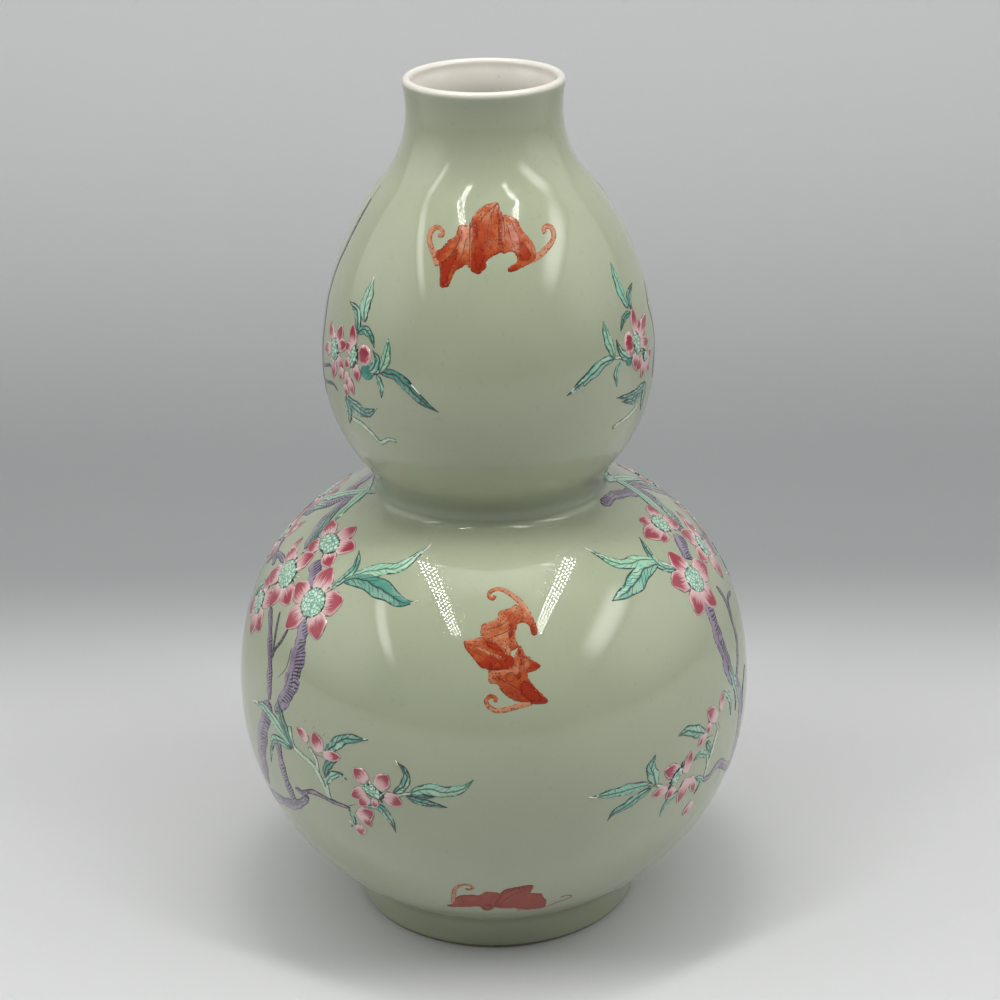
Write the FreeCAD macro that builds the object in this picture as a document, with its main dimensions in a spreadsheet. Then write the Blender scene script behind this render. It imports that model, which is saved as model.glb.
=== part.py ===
import FreeCAD, Part
import math
import os
import Sketcher
from FreeCAD import Vector

# Double gourd vase, porcelain, 340 mm high. It is thrown in five sections that are luted to each
# other with slip, turned at the foot, glazed and fired in one. Every section meets its neighbour
# where the wall stands upright: at the belly, the waist, the upper belly and the neck. The axis
# is Z, and the foot rests on Z = 0.

# ---------------------------------------------------------------- driving sizes, millimetres
# Radii are those of the glazed outside, and walls are the fired ones with their glaze. Heights
# are those of the sections, which stand one on the other.
SIZES = {
    # turned foot
    "foot_radius": 56.6,
    "foot_top_radius": 58.4,
    "foot_height": 14.6,
    "foot_wall": 6.0,
    "foot_recess": 8.0,
    "recess_round": 3.0,
    "foot_edge_round": 1.1,
    "bare_edge": 1.6,
    "glaze_step": 0.45,
    # base section, from the foot to the belly
    "belly_radius": 102.2,
    "bowl_flattening": 22.2,
    "floor_wall": 6.5,
    "floor_round": 34.0,
    # lower shoulder, from the belly to the waist
    "shoulder_height": 86.2,
    "shoulder_round": 115.0,
    "shoulder_rise": 28.0,
    "waist_radius": 45.8,
    "waist_crease": 5.0,
    # upper bowl, from the waist to the upper belly
    "upper_bowl_height": 48.7,
    "upper_bowl_turn": 8.2,
    "upper_radius": 63.9,
    # upper shoulder, from the upper belly to the neck
    "upper_shoulder_height": 95.7,
    "upper_shoulder_turn": 70.4,
    "neck_radius": 29.3,
    # collar, from the neck to the widest line of the lip
    "collar_height": 9.95,
    "collar_turn": 7.6,
    "lip_overhang": 0.9,
    # thickness of the wall at each joint and at the lip
    "belly_wall": 5.2,
    "waist_wall": 5.8,
    "upper_wall": 4.6,
    "neck_wall": 3.9,
    "lip_wall": 3.3,
    # slip in the joints
    "slip": 0.8,
}

START, END, CENTRE = range(1, 4)
UP_AXIS, LEVEL_AXIS = range(-2, 0)
ORIGIN = (LEVEL_AXIS, START)


class Size:
    """A length that keeps the sheet's formula beside its value, through sums and differences."""

    def __init__(self, value, formula):
        self.value = value
        self.formula = formula

    def __add__(self, other):
        return Size(self.value + other.value, f"({self.formula} + {other.formula})")

    def __sub__(self, other):
        return Size(self.value - other.value, f"({self.formula} - {other.formula})")


def size(alias):
    """A driving size from the sheet."""
    return Size(SIZES[alias], f"Sizes.{alias}")


def make_sheet(doc):
    """The spreadsheet that holds the driving sizes under their names."""
    sheet = doc.addObject("Spreadsheet::Sheet", "Sizes")
    for row, (alias, value) in enumerate(SIZES.items(), start=1):
        sheet.set(f"A{row}", alias)
        sheet.set(f"B{row}", str(value))
        sheet.setAlias(f"B{row}", alias)
    doc.recompute()


# ---------------------------------------------------------------- stations along the axis
GROUND = Size(0.0, "0")
FLOOR = size("foot_recess") + size("floor_wall")
# the bowl is nearly as high as the belly is wide from the axis, so a wider belly is a deeper bowl
BELLY = size("foot_height") + size("belly_radius") - size("bowl_flattening")
SHOULDER = BELLY + size("slip")
WAIST = SHOULDER + size("shoulder_height")
UPPER_BOWL = WAIST + size("slip")
UPPER_BELLY = UPPER_BOWL + size("upper_bowl_height")
UPPER_SHOULDER = UPPER_BELLY + size("slip")
NECK = UPPER_SHOULDER + size("upper_shoulder_height")
COLLAR = NECK + size("slip")

OUTSIDE = {
    "belly": size("belly_radius"),
    "waist": size("waist_radius"),
    "upper": size("upper_radius"),
    "neck": size("neck_radius"),
    "lip": size("neck_radius") + size("lip_overhang"),
}
INSIDE = {station: across - size(f"{station}_wall") for station, across in OUTSIDE.items()}


# ---------------------------------------------------------------- sketching
def new_sketch(body, name, base):
    """A sketch on the body's upright plane, with its level axis raised to a base height."""
    planes = {plane.Role: plane for plane in body.Origin.OriginFeatures}
    sketch = body.newObject("Sketcher::SketchObject", name)
    sketch.AttachmentSupport = [(planes["XZ_Plane"], "")]
    sketch.MapMode = "FlatFace"
    sketch.setExpression("AttachmentOffset.Base.y", base.formula)
    return sketch


def tie(sketch, kind, *where):
    """A constraint without a measure."""
    sketch.addConstraint(Sketcher.Constraint(kind, *where))


def lock(sketch, kind, *where, length):
    """A measured constraint that follows the sheet."""
    index = sketch.addConstraint(Sketcher.Constraint(kind, *where, length.value))
    sketch.setExpression(f"Constraints[{index}]", length.formula)


def place(sketch, point, across, up=None):
    """Fix a point at a distance from the axis, and above the sketch's base or level with it."""
    lock(sketch, "DistanceX", *ORIGIN, *point, length=across)
    if up is None:
        tie(sketch, "PointOnObject", *point, LEVEL_AXIS)
    else:
        lock(sketch, "DistanceY", *ORIGIN, *point, length=up)


def add_line(sketch, first, last):
    """A straight line, returned with its first and last end."""
    line = sketch.addGeometry(Part.LineSegment(first, last), False)
    return line, (line, START), (line, END)


def add_arc(sketch, centre, low, high, bulges):
    """An arc of wall, returned with its low and high end.

    One that bulges has its centre on the side of the axis, and a hollow one outside the wall.
    """
    turn = 2 * math.pi
    low_angle = math.atan2(low.y - centre.y, low.x - centre.x) % turn
    high_angle = math.atan2(high.y - centre.y, high.x - centre.x) % turn
    begin, finish = (low_angle, high_angle) if bulges else (high_angle, low_angle)
    if finish < begin:
        finish += turn
    circle = Part.Circle(centre, Vector(0, 0, 1), (low - centre).Length)
    arc = sketch.addGeometry(Part.ArcOfCircle(circle, begin, finish), False)
    if bulges:
        return arc, (arc, START), (arc, END)
    return arc, (arc, END), (arc, START)


def upright_at(sketch, arc, end):
    """Make an arc upright at one end, with its centre level with that end."""
    tie(sketch, "Horizontal", arc, CENTRE, *end)


def line_between(sketch, first, last, first_point, last_point):
    """A straight line between two ends that are there already."""
    line, begin, finish = add_line(sketch, first_point, last_point)
    tie(sketch, "Coincident", *begin, *first)
    tie(sketch, "Coincident", *finish, *last)


def line_from(sketch, end, end_point, far_point):
    """A straight line from an end that is there already, returned with its far end."""
    line, begin, far_end = add_line(sketch, end_point, far_point)
    tie(sketch, "Coincident", *begin, *end)
    return line, far_end


class Curve:
    """A run of lines and arcs drawn upwards: its two ends, and where they are."""

    def __init__(self, low, high, low_point, high_point):
        self.low = low
        self.high = high
        self.low_point = low_point
        self.high_point = high_point


# ---------------------------------------------------------------- curves of the wall
def s_curve(sketch, low_radius, high_radius, height, turn_height):
    """Two tangent arcs, upright at both ends, that change their bend at a given height."""
    step = abs(high_radius.value - low_radius.value)
    rounds = (step**2 + height.value**2) / (2 * step)
    first_round = rounds * turn_height.value / height.value
    opens = high_radius.value > low_radius.value
    side = 1 if opens else -1
    low = Vector(low_radius.value, 0, 0)
    high = Vector(high_radius.value, height.value, 0)
    first_centre = low + Vector(side * first_round, 0, 0)
    last_centre = high - Vector(side * (rounds - first_round), 0, 0)
    turn = first_centre + (last_centre - first_centre) * (first_round / rounds)

    first, first_low, first_high = add_arc(sketch, first_centre, low, turn, not opens)
    last, last_low, last_high = add_arc(sketch, last_centre, turn, high, opens)
    place(sketch, first_low, low_radius)
    place(sketch, last_high, high_radius, height)
    upright_at(sketch, first, first_low)
    upright_at(sketch, last, last_high)
    tie(sketch, "Tangent", *first_high, *last_low)
    lock(sketch, "DistanceY", *ORIGIN, *first_high, length=turn_height)
    return Curve(first_low, last_high, low, high)


def shoulder_curve(sketch, radii, slow_round, crease_round):
    """Three tangent arcs over the lower shoulder.

    A slow one leaves the belly, a quicker one closes the shoulder, and a small hollow one makes
    the crease of the waist.
    """
    height = size("shoulder_height")
    rise = size("shoulder_rise")
    low = Vector(radii["belly"].value, 0, 0)
    high = Vector(radii["waist"].value, height.value, 0)
    slow_centre = low - Vector(slow_round.value, 0, 0)
    crease_centre = high + Vector(crease_round.value, 0, 0)
    lean = math.asin(rise.value / slow_round.value)
    outward = Vector(math.cos(lean), math.sin(lean), 0)
    slow_end = slow_centre + outward * slow_round.value
    gap = slow_end - crease_centre
    reach = gap.dot(gap) - crease_round.value**2
    quick_round = reach / (2 * (gap.dot(outward) + crease_round.value))
    quick_centre = slow_end - outward * quick_round
    share = quick_round / (quick_round + crease_round.value)
    quick_end = quick_centre + (crease_centre - quick_centre) * share

    slow, slow_low, slow_high = add_arc(sketch, slow_centre, low, slow_end, True)
    quick, quick_low, quick_high = add_arc(sketch, quick_centre, slow_end, quick_end, True)
    crease, crease_low, crease_high = add_arc(sketch, crease_centre, quick_end, high, False)
    place(sketch, slow_low, radii["belly"])
    place(sketch, crease_high, radii["waist"], height)
    upright_at(sketch, slow, slow_low)
    upright_at(sketch, crease, crease_high)
    lock(sketch, "Radius", slow, length=slow_round)
    lock(sketch, "Radius", crease, length=crease_round)
    lock(sketch, "DistanceY", *ORIGIN, *slow_high, length=rise)
    tie(sketch, "Tangent", *slow_high, *quick_low)
    tie(sketch, "Tangent", *quick_high, *crease_low)
    return Curve(slow_low, crease_high, low, high)


def close_ends(sketch, outer, inner):
    """Level faces between the two curves of a wall, below and above."""
    line_between(sketch, outer.low, inner.low, outer.low_point, inner.low_point)
    line_between(sketch, outer.high, inner.high, outer.high_point, inner.high_point)


# ---------------------------------------------------------------- base section
class Bowl:
    """The round of the bowl, from the top of the foot up to the belly."""

    def __init__(self):
        self.low = Vector(SIZES["foot_top_radius"], SIZES["foot_height"], 0)
        self.high = Vector(SIZES["belly_radius"], BELLY.value, 0)
        spread = self.high.x - self.low.x
        rise = self.high.y - self.low.y
        self.round = (spread**2 + rise**2) / (2 * spread)
        self.centre = self.high - Vector(self.round, 0, 0)


def bowl_outside(sketch, bowl):
    """The outer arc of the bowl. Returns the arc and its curve."""
    arc, low_end, high_end = add_arc(sketch, bowl.centre, bowl.low, bowl.high, True)
    place(sketch, low_end, size("foot_top_radius"), size("foot_height"))
    place(sketch, high_end, OUTSIDE["belly"], BELLY)
    upright_at(sketch, arc, high_end)
    return arc, Curve(low_end, high_end, bowl.low, bowl.high)


def bowl_inside(sketch, bowl, outer_arc):
    """The inner arc about the same centre, which runs through a round into the flat floor."""
    floor_round = size("floor_round")
    inner_round = bowl.round - SIZES["belly_wall"]
    round_y = FLOOR.value + floor_round.value
    reach = inner_round - floor_round.value
    round_x = bowl.centre.x + math.sqrt(reach**2 - (bowl.centre.y - round_y) ** 2)
    round_centre = Vector(round_x, round_y, 0)
    outward = (round_centre - bowl.centre).normalize()
    meeting = round_centre + outward * floor_round.value
    floor_end = Vector(round_x, FLOOR.value, 0)
    middle = Vector(0, FLOOR.value, 0)
    high = Vector(INSIDE["belly"].value, BELLY.value, 0)

    arc, arc_low, arc_high = add_arc(sketch, bowl.centre, meeting, high, True)
    easing, easing_low, easing_high = add_arc(sketch, round_centre, floor_end, meeting, True)
    floor, floor_middle, floor_far = add_line(sketch, middle, floor_end)
    tie(sketch, "Coincident", arc, CENTRE, outer_arc, CENTRE)
    place(sketch, arc_high, INSIDE["belly"], BELLY)
    tie(sketch, "Tangent", *arc_low, *easing_high)
    tie(sketch, "Tangent", *easing_low, *floor_far)
    lock(sketch, "Radius", easing, length=floor_round)
    tie(sketch, "Horizontal", floor)
    tie(sketch, "PointOnObject", *floor_middle, UP_AXIS)
    lock(sketch, "DistanceY", *ORIGIN, *floor_middle, length=FLOOR)
    return Curve(floor_middle, arc_high, middle, high)


def foot_outside(sketch, bowl_curve):
    """The sloping side of the foot down to the glaze's edge, and the bare band under it."""
    glaze_point = Vector(SIZES["foot_radius"], SIZES["bare_edge"], 0)
    step_point = glaze_point - Vector(SIZES["glaze_step"], 0, 0)
    rest_point = Vector(step_point.x, 0, 0)
    _, glaze_end = line_from(sketch, bowl_curve.low, bowl_curve.low_point, glaze_point)
    step, step_end = line_from(sketch, glaze_end, glaze_point, step_point)
    band, rest_end = line_from(sketch, step_end, step_point, rest_point)
    place(sketch, glaze_end, size("foot_radius"), size("bare_edge"))
    tie(sketch, "Horizontal", step)
    tie(sketch, "Vertical", band)
    place(sketch, rest_end, size("foot_radius") - size("glaze_step"))
    return rest_end, rest_point


def foot_recess(sketch):
    """The hollow under the base: the foot's inner wall, a round corner and a flat ceiling."""
    wall_radius = size("foot_radius") - size("glaze_step") - size("foot_wall")
    corner_round = size("recess_round")
    top = size("foot_recess")
    rest_point = Vector(wall_radius.value, 0, 0)
    wall_top = Vector(wall_radius.value, top.value - corner_round.value, 0)
    corner_centre = wall_top - Vector(corner_round.value, 0, 0)
    ceiling_point = Vector(corner_centre.x, top.value, 0)
    middle = Vector(0, top.value, 0)

    wall, wall_low, wall_high = add_line(sketch, rest_point, wall_top)
    corner, corner_low, corner_high = add_arc(sketch, corner_centre, wall_top, ceiling_point, True)
    ceiling, ceiling_far, ceiling_middle = add_line(sketch, ceiling_point, middle)
    place(sketch, wall_low, wall_radius)
    tie(sketch, "Vertical", wall)
    tie(sketch, "Tangent", *wall_high, *corner_low)
    tie(sketch, "Tangent", *corner_high, *ceiling_far)
    lock(sketch, "Radius", corner, length=corner_round)
    tie(sketch, "Horizontal", ceiling)
    tie(sketch, "PointOnObject", *ceiling_middle, UP_AXIS)
    lock(sketch, "DistanceY", *ORIGIN, *ceiling_middle, length=top)
    return Curve(wall_low, ceiling_middle, rest_point, middle)


def draw_base(sketch):
    """Bowl, floor and turned foot in one closed profile."""
    bowl = Bowl()
    outer_arc, outer = bowl_outside(sketch, bowl)
    inner = bowl_inside(sketch, bowl, outer_arc)
    rest_end, rest_point = foot_outside(sketch, outer)
    recess = foot_recess(sketch)
    line_between(sketch, outer.high, inner.high, outer.high_point, inner.high_point)
    line_between(sketch, rest_end, recess.low, rest_point, recess.low_point)
    line_between(sketch, recess.high, inner.low, recess.high_point, inner.low_point)


# ---------------------------------------------------------------- the other sections
def draw_lower_shoulder(sketch):
    """From the belly in to the crease of the waist."""
    slow_round = size("shoulder_round")
    crease_round = size("waist_crease")
    inner_slow = slow_round - size("belly_wall")
    inner_crease = crease_round + size("waist_wall")
    outer = shoulder_curve(sketch, OUTSIDE, slow_round, crease_round)
    inner = shoulder_curve(sketch, INSIDE, inner_slow, inner_crease)
    close_ends(sketch, outer, inner)


def draw_upper_bowl(sketch):
    """From the waist out to the upper belly."""
    height = size("upper_bowl_height")
    turn = size("upper_bowl_turn")
    outer, inner = [
        s_curve(sketch, radii["waist"], radii["upper"], height, turn) for radii in (OUTSIDE, INSIDE)
    ]
    close_ends(sketch, outer, inner)


def draw_upper_shoulder(sketch):
    """From the upper belly in to the neck."""
    height = size("upper_shoulder_height")
    turn = size("upper_shoulder_turn")
    outer, inner = [
        s_curve(sketch, radii["upper"], radii["neck"], height, turn) for radii in (OUTSIDE, INSIDE)
    ]
    close_ends(sketch, outer, inner)


def draw_collar(sketch):
    """From the neck out to the lip, which is rounded over in a half circle."""
    height = size("collar_height")
    turn = size("collar_turn")
    outer, inner = [
        s_curve(sketch, radii["neck"], radii["lip"], height, turn) for radii in (OUTSIDE, INSIDE)
    ]
    line_between(sketch, outer.low, inner.low, outer.low_point, inner.low_point)
    centre = (outer.high_point + inner.high_point) * 0.5
    _, outer_end, inner_end = add_arc(sketch, centre, outer.high_point, inner.high_point, True)
    tie(sketch, "Tangent", *outer.high, *outer_end)
    tie(sketch, "Coincident", *inner.high, *inner_end)


def draw_slip(sketch, station):
    """The slip between two sections, as wide as the wall."""
    slip = SIZES["slip"]
    outer = OUTSIDE[station].value
    inner = INSIDE[station].value
    corners = [(outer, 0), (outer, slip), (inner, slip), (inner, 0)]
    points = [Vector(across, up, 0) for across, up in corners]
    sides = [add_line(sketch, points[i], points[(i + 1) % 4]) for i in range(4)]
    for i, (line, _, finish) in enumerate(sides):
        tie(sketch, "Coincident", *finish, *sides[(i + 1) % 4][1])
        tie(sketch, "Horizontal" if i % 2 else "Vertical", line)
    place(sketch, sides[0][1], OUTSIDE[station])
    place(sketch, sides[2][1], INSIDE[station], size("slip"))


# ---------------------------------------------------------------- solids
def turn_body(doc, label, base, draw, *details):
    """A body that is one closed profile, turned a full circle about the axis."""
    body = doc.addObject("PartDesign::Body", label)
    body.Label = label
    sketch = new_sketch(body, f"{label}_profile", base)
    draw(sketch, *details)
    turned = body.newObject("PartDesign::Revolution", f"{label}_turned")
    turned.Profile = sketch
    turned.ReferenceAxis = (sketch, ["V_Axis"])
    turned.Angle = 360.0
    doc.recompute()
    if not sketch.FullyConstrained:
        raise RuntimeError(f"{label}: the profile isn't fully constrained")
    return body, turned


def edges_at_height(shape, height):
    """The names of a shape's level edges at a height."""
    near = 1e-6
    return [
        f"Edge{number}"
        for number, edge in enumerate(shape.Edges, start=1)
        if abs(edge.BoundBox.ZMin - height) < near and abs(edge.BoundBox.ZMax - height) < near
    ]


def make_base_section(doc):
    """Bowl, floor and foot, with the resting edge eased on both sides."""
    body, turned = turn_body(doc, "base_section", GROUND, draw_base)
    eased = body.newObject("PartDesign::Fillet", "resting_edge")
    eased.Base = (turned, edges_at_height(turned.Shape, 0.0))
    eased.setExpression("Radius", "Sizes.foot_edge_round")
    return body


SECTIONS = [
    ("lower_shoulder", SHOULDER, draw_lower_shoulder),
    ("upper_bowl", UPPER_BOWL, draw_upper_bowl),
    ("upper_shoulder", UPPER_SHOULDER, draw_upper_shoulder),
    ("mouth_collar", COLLAR, draw_collar),
]
JOINTS = [
    ("belly_slip_joint", BELLY, "belly"),
    ("waist_slip_joint", WAIST, "waist"),
    ("upper_belly_slip_joint", UPPER_BELLY, "upper"),
    ("neck_slip_joint", NECK, "neck"),
]


def check(doc, bodies):
    """Stop if any feature failed, or if a body isn't one sound solid."""
    for item in doc.Objects:
        if "Invalid" in item.State or "Error" in item.State:
            raise RuntimeError(f"{item.Name} failed: {item.State}")
    for body in bodies:
        shape = body.Shape
        if shape.isNull() or not shape.isValid() or len(shape.Solids) != 1:
            raise RuntimeError(f"{body.Label} isn't one sound solid")


def main():
    doc = FreeCAD.newDocument("double_gourd_vase")
    make_sheet(doc)
    bodies = [make_base_section(doc)]
    for label, base, draw in SECTIONS:
        bodies.append(turn_body(doc, label, base, draw)[0])
    for label, base, station in JOINTS:
        bodies.append(turn_body(doc, label, base, draw_slip, station)[0])
    doc.recompute()
    check(doc, bodies)

    os.makedirs("parts", exist_ok=True)
    for body in bodies:
        body.Shape.exportStep(f"parts/{body.Label}.step")
        print(f"{body.Label}: {body.Shape.Volume / 1000:.1f} cm3")


main()
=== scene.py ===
"""The looks of a double gourd vase, built round its packed sections.

The sections keep their own shape and get a white fired body. A celadon coat lies over their
outside and a clear coat over their inside, and the bats, boughs, leaves and blossoms are raised
enamels on the celadon. Layout points are (azimuth in degrees from the front, height in
millimetres), and motifs are drawn from such a point in millimetres to the right and upwards.
"""

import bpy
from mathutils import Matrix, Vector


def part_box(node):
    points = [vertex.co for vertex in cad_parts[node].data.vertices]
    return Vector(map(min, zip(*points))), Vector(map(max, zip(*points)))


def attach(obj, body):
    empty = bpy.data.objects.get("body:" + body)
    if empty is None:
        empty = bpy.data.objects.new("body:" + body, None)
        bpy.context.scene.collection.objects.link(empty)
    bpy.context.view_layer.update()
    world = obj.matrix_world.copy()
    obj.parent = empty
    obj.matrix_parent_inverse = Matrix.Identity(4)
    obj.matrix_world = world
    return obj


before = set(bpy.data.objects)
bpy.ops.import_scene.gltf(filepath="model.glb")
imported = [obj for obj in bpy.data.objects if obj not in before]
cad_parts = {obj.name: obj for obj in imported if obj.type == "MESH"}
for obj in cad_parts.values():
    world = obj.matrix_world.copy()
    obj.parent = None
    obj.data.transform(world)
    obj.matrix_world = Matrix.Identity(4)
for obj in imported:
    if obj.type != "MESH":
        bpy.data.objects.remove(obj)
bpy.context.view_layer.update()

import bisect
import math
import random

import bmesh
import bpy
from bpy.props import FloatProperty, FloatVectorProperty, IntProperty, PointerProperty
from mathutils import Matrix, Vector

bl_info = {
    "name": "Double Gourd Vase",
    "version": (1, 0, 0),
    "blender": (4, 5, 0),
    "location": "View3D > Sidebar > Vase",
    "description": "Glazes, enamels and stage of a double gourd vase",
    "category": "Object",
}

MM = 0.001
SAME_POINT = 0.01  # Points of a profile nearer than this, in millimetres, are one.
SAME_VERTEX = 1e-6
SECTIONS = ("base_section", "lower_shoulder", "upper_bowl", "upper_shoulder", "mouth_collar")
SLIPS = ("belly_slip_joint", "waist_slip_joint", "upper_belly_slip_joint", "neck_slip_joint")


# ---------------------------------------------------------------- sizes and colours
def length(name, description, default):
    """A length in metres, with its default in millimetres."""
    return FloatProperty(
        name=name, description=description, default=default * MM, unit="LENGTH", precision=5
    )


def colour(name, description, red, green, blue):
    """A colour, with its default in the 0 to 255 steps of a colour chart."""
    chart = [step / 255 for step in (red, green, blue)]
    linear = [c / 12.92 if c <= 0.04045 else ((c + 0.055) / 1.055) ** 2.4 for c in chart]
    return FloatVectorProperty(
        name=name, description=description, default=linear, subtype="COLOR", min=0, max=1
    )


class VaseForm(bpy.types.PropertyGroup):
    """The curves between the joints. The joints' own places come from the frame."""

    bare_edge: length("Bare edge", "Height of the unglazed foot edge", 1.6)
    foot_radius: length("Foot radius", "Radius of the foot at its glaze line", 56.6)
    foot_top_radius: length("Foot top radius", "Radius at the top of the foot", 58.4)
    foot_height: length("Foot height", "Height of the turned foot", 14.6)
    shoulder_round: length("Shoulder round", "Radius of the slow curve over the belly", 115.0)
    shoulder_rise: length("Shoulder rise", "Height of the slow curve over the belly", 28.0)
    waist_crease: length("Waist crease", "Radius of the hollow at the waist", 5.0)
    upper_bowl_turn: length("Upper bowl turn", "Height where the upper bowl swells", 8.2)
    upper_shoulder_turn: length("Upper shoulder turn", "Height where it hollows to the neck", 70.4)
    collar_turn: length("Collar turn", "Height where the collar turns to the lip", 7.6)
    floor_height: length("Floor height", "Height of the inside floor", 14.5)
    floor_round: length("Floor round", "Radius between the floor and the wall", 34.0)
    belly_wall: length("Belly wall", "Thickness of the wall at the belly", 5.2)
    waist_wall: length("Waist wall", "Thickness of the wall at the waist", 5.8)
    upper_wall: length("Upper wall", "Thickness of the wall at the upper belly", 4.6)
    neck_wall: length("Neck wall", "Thickness of the wall at the neck", 3.9)
    lip_wall: length("Lip wall", "Thickness of the lip", 3.3)


class GlazeSizes(bpy.types.PropertyGroup):
    """How the two coats lie on the sections."""

    proud: length("Proud", "How far a coat's face stands out of the section", 0.05)
    depth: length("Depth", "How deep a coat reaches into the section", 0.4)
    step: length("Step", "Distance between points along the profile", 2.2)
    segments: IntProperty(name="Segments", description="Steps round the vase", default=208)
    crest: length("Crest", "Height where celadon gives way to white on the lip", 338.9)


class EnamelSizes(bpy.types.PropertyGroup):
    """How thick the enamels lie and how broad their drawn lines are."""

    bury: length("Bury", "How deep an enamel's edge dips under its ground", 0.05)
    body: length("Body", "Thickness that closes each patch below", 0.45)
    roll: length("Roll", "Width over which an edge rolls up to its full height", 0.35)
    outline: length("Outline", "Width of the drawn outline", 0.5)
    bough_relief: length("Bough relief", "Height of the boughs", 0.16)
    leaf_relief: length("Leaf relief", "Height of the leaves", 0.26)
    petal_relief: length("Petal relief", "Height of the petals", 0.34)
    heart_relief: length("Heart relief", "Height of the blossoms' hearts", 0.6)
    bat_relief: length("Bat relief", "Height of the bats", 0.16)
    line_relief: length("Line relief", "Height of the drawn lines", 0.1)


class VaseColours(bpy.types.PropertyGroup):
    """Glaze, body and enamel colours."""

    celadon: colour("Celadon", "The pale green glaze", 164, 171, 144)
    # Deep celadon is also the painted shade in the waist's crease.
    celadon_deep_and_shade: colour("Deep celadon", "The glaze where it lies thick", 128, 138, 116)
    white: colour("White glaze", "Clear glaze over the white body", 234, 229, 218)
    # The bare edge is painted darker than bare porcelain, partly as the shadow where the foot meets
    # the floor.
    bare_body: colour("Bare body", "The unglazed foot edge", 142, 130, 110)
    iron_red: colour("Iron red", "The bats", 144, 36, 2)
    iron_dark: colour("Dark iron red", "Outlines of the bats", 98, 22, 6)
    iron_wash: colour("Iron wash", "The bats' middling washes", 164, 72, 26)
    iron_pale: colour("Pale iron red", "The bats' thin washes", 184, 126, 92)
    violet: colour("Violet", "The boughs", 146, 132, 152)
    violet_dark: colour("Dark violet", "Shade of the boughs", 96, 80, 112)
    ink: colour("Ink", "Dark outlines and veins", 26, 40, 40)
    leaf_pale: colour("Pale leaf", "Yellow-green leaves", 164, 198, 158)
    leaf_mint: colour("Mint", "Light of the leaves and blossom hearts", 166, 204, 176)
    leaf_teal: colour("Teal leaf", "Blue-green leaves", 118, 188, 164)
    leaf_deep: colour("Deep teal", "Shade of the blue-green leaves", 18, 112, 98)
    petal_white: colour("Petal white", "Margins of the petals", 214, 184, 182)
    petal_pink: colour("Petal pink", "Body of the petals", 198, 126, 134)
    crimson: colour("Crimson", "Tips of the petals", 150, 26, 52)
    stamen: colour("Stamen", "The stamens and the white dabs", 226, 222, 206)
    floor: colour("Floor", "The floor and the foot of the backdrop", 205, 206, 206)
    # The backdrop's lighter tone up high is painted light.
    backdrop: colour("Backdrop", "The backdrop above the vase", 218, 217, 215)
    # Floor shade is painted shade in a band on the backdrop behind the vase.
    floor_shade: colour("Floor shade", "Backdrop behind the vase", 150, 153, 153)


# ---------------------------------------------------------------- the turned wall
def arc_points(centre, first, last, step):
    """Points along an arc of the profile, from one end to the other."""
    reach = (first - centre).length
    begin = math.atan2(first.y - centre.y, first.x - centre.x)
    turn = math.atan2(last.y - centre.y, last.x - centre.x) - begin
    turn = (turn + math.pi) % math.tau - math.pi
    count = max(2, math.ceil(abs(turn) * reach / step))
    angles = [begin + turn * i / count for i in range(count + 1)]
    return [centre + Vector((math.cos(a), math.sin(a))) * reach for a in angles]


def line_points(first, last, step):
    """Points along a straight run of the profile."""
    count = max(1, math.ceil((last - first).length / step))
    return [first.lerp(last, i / count) for i in range(count + 1)]


def s_curve(low, high, turn_height, step):
    """Two arcs, upright at both ends, that change their bend at a given height."""
    spread = high.x - low.x
    height = high.y - low.y
    rounds = (spread**2 + height**2) / (2 * abs(spread))
    first_round = rounds * turn_height / height
    side = Vector((math.copysign(1, spread), 0))
    first_centre = low + side * first_round
    last_centre = high - side * (rounds - first_round)
    turn = first_centre.lerp(last_centre, first_round / rounds)
    return arc_points(first_centre, low, turn, step) + arc_points(last_centre, turn, high, step)


def shoulder_curve(low, high, slow_round, rise, crease_round, step):
    """A slow arc over the belly, a quicker one, and the small hollow one of the waist."""
    slow_centre = low - Vector((slow_round, 0))
    crease_centre = high + Vector((crease_round, 0))
    lean = math.asin(rise / slow_round)
    outward = Vector((math.cos(lean), math.sin(lean)))
    slow_end = slow_centre + outward * slow_round
    gap = slow_end - crease_centre
    quick_round = (gap.dot(gap) - crease_round**2) / (2 * (gap.dot(outward) + crease_round))
    quick_centre = slow_end - outward * quick_round
    quick_end = quick_centre.lerp(crease_centre, quick_round / (quick_round + crease_round))
    return (
        arc_points(slow_centre, low, slow_end, step)
        + arc_points(quick_centre, slow_end, quick_end, step)
        + arc_points(crease_centre, quick_end, high, step * 0.3)
    )


def joint_station(node):
    """Outer radius, and lower and upper height, of a slip joint of the frame."""
    low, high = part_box(node)
    return high.x / MM, low.z / MM, high.z / MM


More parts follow.
